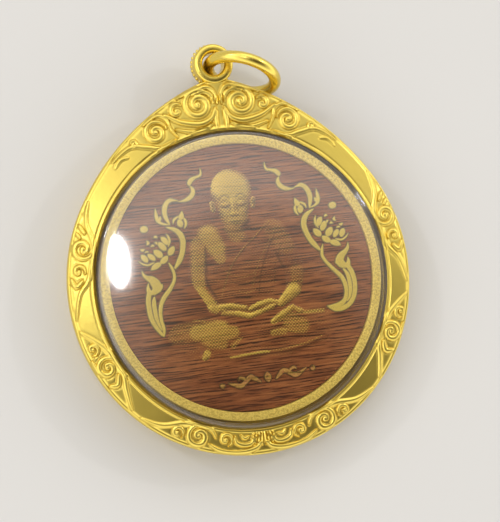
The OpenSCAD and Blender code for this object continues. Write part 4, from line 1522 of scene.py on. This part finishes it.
@dataclass
class BaseOrnament:
    """The plain flourish under the figure, raised out of the wood and lightly gilt, in a lighter wood as a
    painted highlight, with sides painted dark as painted shade.
    """

    rise: float = 0.3
    pitch: float = 0.4
    half_w: float = 1.7
    dot_x: float = 35.0
    middle: Point = (9.0, -76.0)
    slope: float = 4.0
    gilding: float = 0.4
    # Wood colours lighter than the disc's: a painted highlight on the raised flourish.
    light: Colour = (0.60, 0.27, 0.09)
    mid: Colour = (0.42, 0.17, 0.055)

    def blades(self) -> tuple[Rows, ...]:
        """The flourish's blades on the picture."""
        shapes: list[Rows] = [((0, 3.5, 0.2), (0, 0, 2.4), (0, -3.5, 0.2))]
        for side in (-1, 1):
            for rows in (WAVE, TENDRIL):
                shapes.append(tuple((side * x, y, w) for x, y, w in rows))
            shapes.append(((side * self.dot_x, 0, self.half_w), (side * (self.dot_x + 0.1), 0, self.half_w)))
        c = cos(radians(self.slope))
        s = sin(radians(self.slope))
        mx, my = self.middle
        return tuple(
            tuple((mx + c * x - s * y, my + s * x + c * y, w) for x, y, w in rows) for rows in shapes
        )

    def build(self, picture: Picture) -> None:
        """Makes the flourish."""
        finish = Wood("gilt_wood", self.light, self.mid, gilding=self.gilding).material()
        piece = Piece("flourish", "stamped_wood", ("base_ornament",))
        Blades(self.blades(), self.rise).make(picture, piece, finish, (-30, -84), (48, -68), self.pitch)


@dataclass
class JumpRing:
    """The loose ring through the bail."""

    wire_r: float = 0.85
    wire_sides: int = 24
    ring_r: float = 4.8
    turn: float = 24.0
    lean: float = 16.0

    def build(self) -> None:
        """Makes the ring where the solid lies."""
        low, high = span("jump_ring")
        last = 360 - 360 / self.wire_sides
        bm = lathe(arc(self.ring_r, 0, self.wire_r, 0, last, self.wire_sides - 1), 144)
        pose = Matrix.Translation((low + high) / 2) @ Matrix.Rotation(radians(-self.turn), 4, "Z")
        pose = pose @ Matrix.Rotation(radians(90 - self.lean), 4, "X")
        bmesh.ops.transform(bm, matrix=pose, verts=bm.verts)
        Piece("ring", "ring_gold", ("jump_ring",)).make(bm, Gold("ring_gold", least_rough=0.17).material())


@dataclass(frozen=True)
class Light:
    """A soft light that faces the pendant: its place and its sides in metres, and its power in watts."""

    name: str
    spot: Triple
    size: Point
    power: float

    def build(self) -> None:
        """Adds the light."""
        data = bpy.data.lights.new(self.name, "AREA")
        data.shape = "ELLIPSE"
        data.size, data.size_y = self.size
        data.energy = self.power
        back = Vector(self.spot).normalized()
        up = (Vector((0, 1, 0)) - back * back.y).normalized()
        turn = Matrix((up.cross(back), up, back)).transposed().to_4x4()
        place_object(self.name, data).matrix_world = Matrix.Translation(self.spot) @ turn


LIGHTS = (
    Light("window", (-0.185, 0.16, 1.0), (0.058, 0.165), 0.72),
    Light("left_fill", (-0.9, -0.1, 0.5), (0.5, 0.9), 0.7),
    Light("crest_fill", (0.23, 0.78, 0.58), (0.6, 0.35), 0.4),
    Light("left_glint", (-0.62, 0.45, 0.62), (0.06, 0.06), 0.8),
    Light("right_glint", (0.72, 0.30, 0.58), (0.06, 0.06), 0.7),
)
SURROUND_STOPS = (
    (0.0, (0.72, 0.69, 0.65)),
    (0.45, (1.65, 1.60, 1.52)),
    (0.63, (1.35, 1.31, 1.24)),
    (0.74, (0.78, 0.76, 0.72)),
    (0.81, (0.84, 0.81, 0.76)),
    (0.91, (0.31, 0.29, 0.25)),
    (0.955, (0.14, 0.115, 0.08)),
    (0.985, (0.05, 0.037, 0.024)),
)


@dataclass
class Studio:
    """The floor, the lights and the camera."""

    view: Triple = (-0.235, -0.06, 0.970)
    roll: float = 7.6
    distance: float = 300.0
    px_per_mm: float = 7.19
    centre_px: Point = (243.0, 278.8)
    sensor: float = 36.0
    clip: Point = (0.01, 20)
    floor_half: float = 1.5
    shade_side: Triple = (0.25, -0.26, 0.93)

    def camera(self) -> None:
        """Places the camera at the photograph's angle."""
        back = Vector(self.view).normalized()
        up = (Vector((0, 1, 0)) - back * back.y).normalized()
        image_up = Matrix.Rotation(radians(-self.roll), 3, back) @ up
        image_right = image_up.cross(back)
        shift_x = (PX_WIDE / 2 - self.centre_px[0]) / self.px_per_mm
        shift_y = (self.centre_px[1] - PX_HIGH / 2) / self.px_per_mm
        aim = Vector((0, 0, lip_height())) + image_right * shift_x + image_up * shift_y
        data = bpy.data.cameras.new("camera")
        data.sensor_fit = "HORIZONTAL"
        data.sensor_width = self.sensor
        data.lens = self.px_per_mm * self.distance / PX_WIDE * self.sensor
        data.clip_start, data.clip_end = self.clip
        camera = place_object("camera", data)
        turn = Matrix((image_right, image_up, back)).transposed().to_4x4()
        camera.matrix_world = Matrix.Translation((aim + back * self.distance) * MM) @ turn
        bpy.context.scene.camera = camera

    def floor(self) -> None:
        """Makes the pale floor."""
        bm = bmesh.new()
        bmesh.ops.create_grid(bm, x_segments=1, y_segments=1, size=self.floor_half)
        mesh = bpy.data.meshes.new("floor")
        bm.to_mesh(mesh)
        bm.free()
        mesh.materials.append(PaleFloor().material())
        place_object("floor", mesh)

    def world(self) -> None:
        """Sets a soft surround that is bright all round and dark in one high place."""
        world = bpy.data.worlds.new("surround")
        bpy.context.scene.world = world
        world.use_nodes = True
        tree = world.node_tree
        place = tree.nodes.new("ShaderNodeTexCoord")
        dot = tree.nodes.new("ShaderNodeVectorMath")
        dot.operation = "DOT_PRODUCT"
        dot.inputs[1].default_value = Vector(self.shade_side).normalized()
        ramp = tree.nodes.new("ShaderNodeValToRGB")
        ramp.color_ramp.interpolation = "EASE"
        Paint.set_stops(ramp.color_ramp, SURROUND_STOPS)
        tree.links.new(place.outputs["Generated"], dot.inputs[0])
        tree.links.new(dot.outputs["Value"], ramp.inputs["Fac"])
        tree.links.new(ramp.outputs["Color"], tree.nodes["Background"].inputs["Color"])

    def build(self) -> None:
        """Makes the studio."""
        bpy.context.scene.view_settings.view_transform = "Standard"
        self.camera()
        self.floor()
        self.world()
        for light in LIGHTS:
            light.build()


def main() -> None:
    """Builds the pendant piece by piece."""
    logging.basicConfig(level=logging.INFO, format="%(relativeCreated)6d ms: %(message)s")
    Studio().build()
    for part in (Case(), Back(), Cover(), Medallion(), JumpRing()):
        part.build()
    picture = Picture()
    for part in (Figure(), Sprays(), BaseOrnament()):
        part.build(picture)


if __name__ == "__main__":
    main()
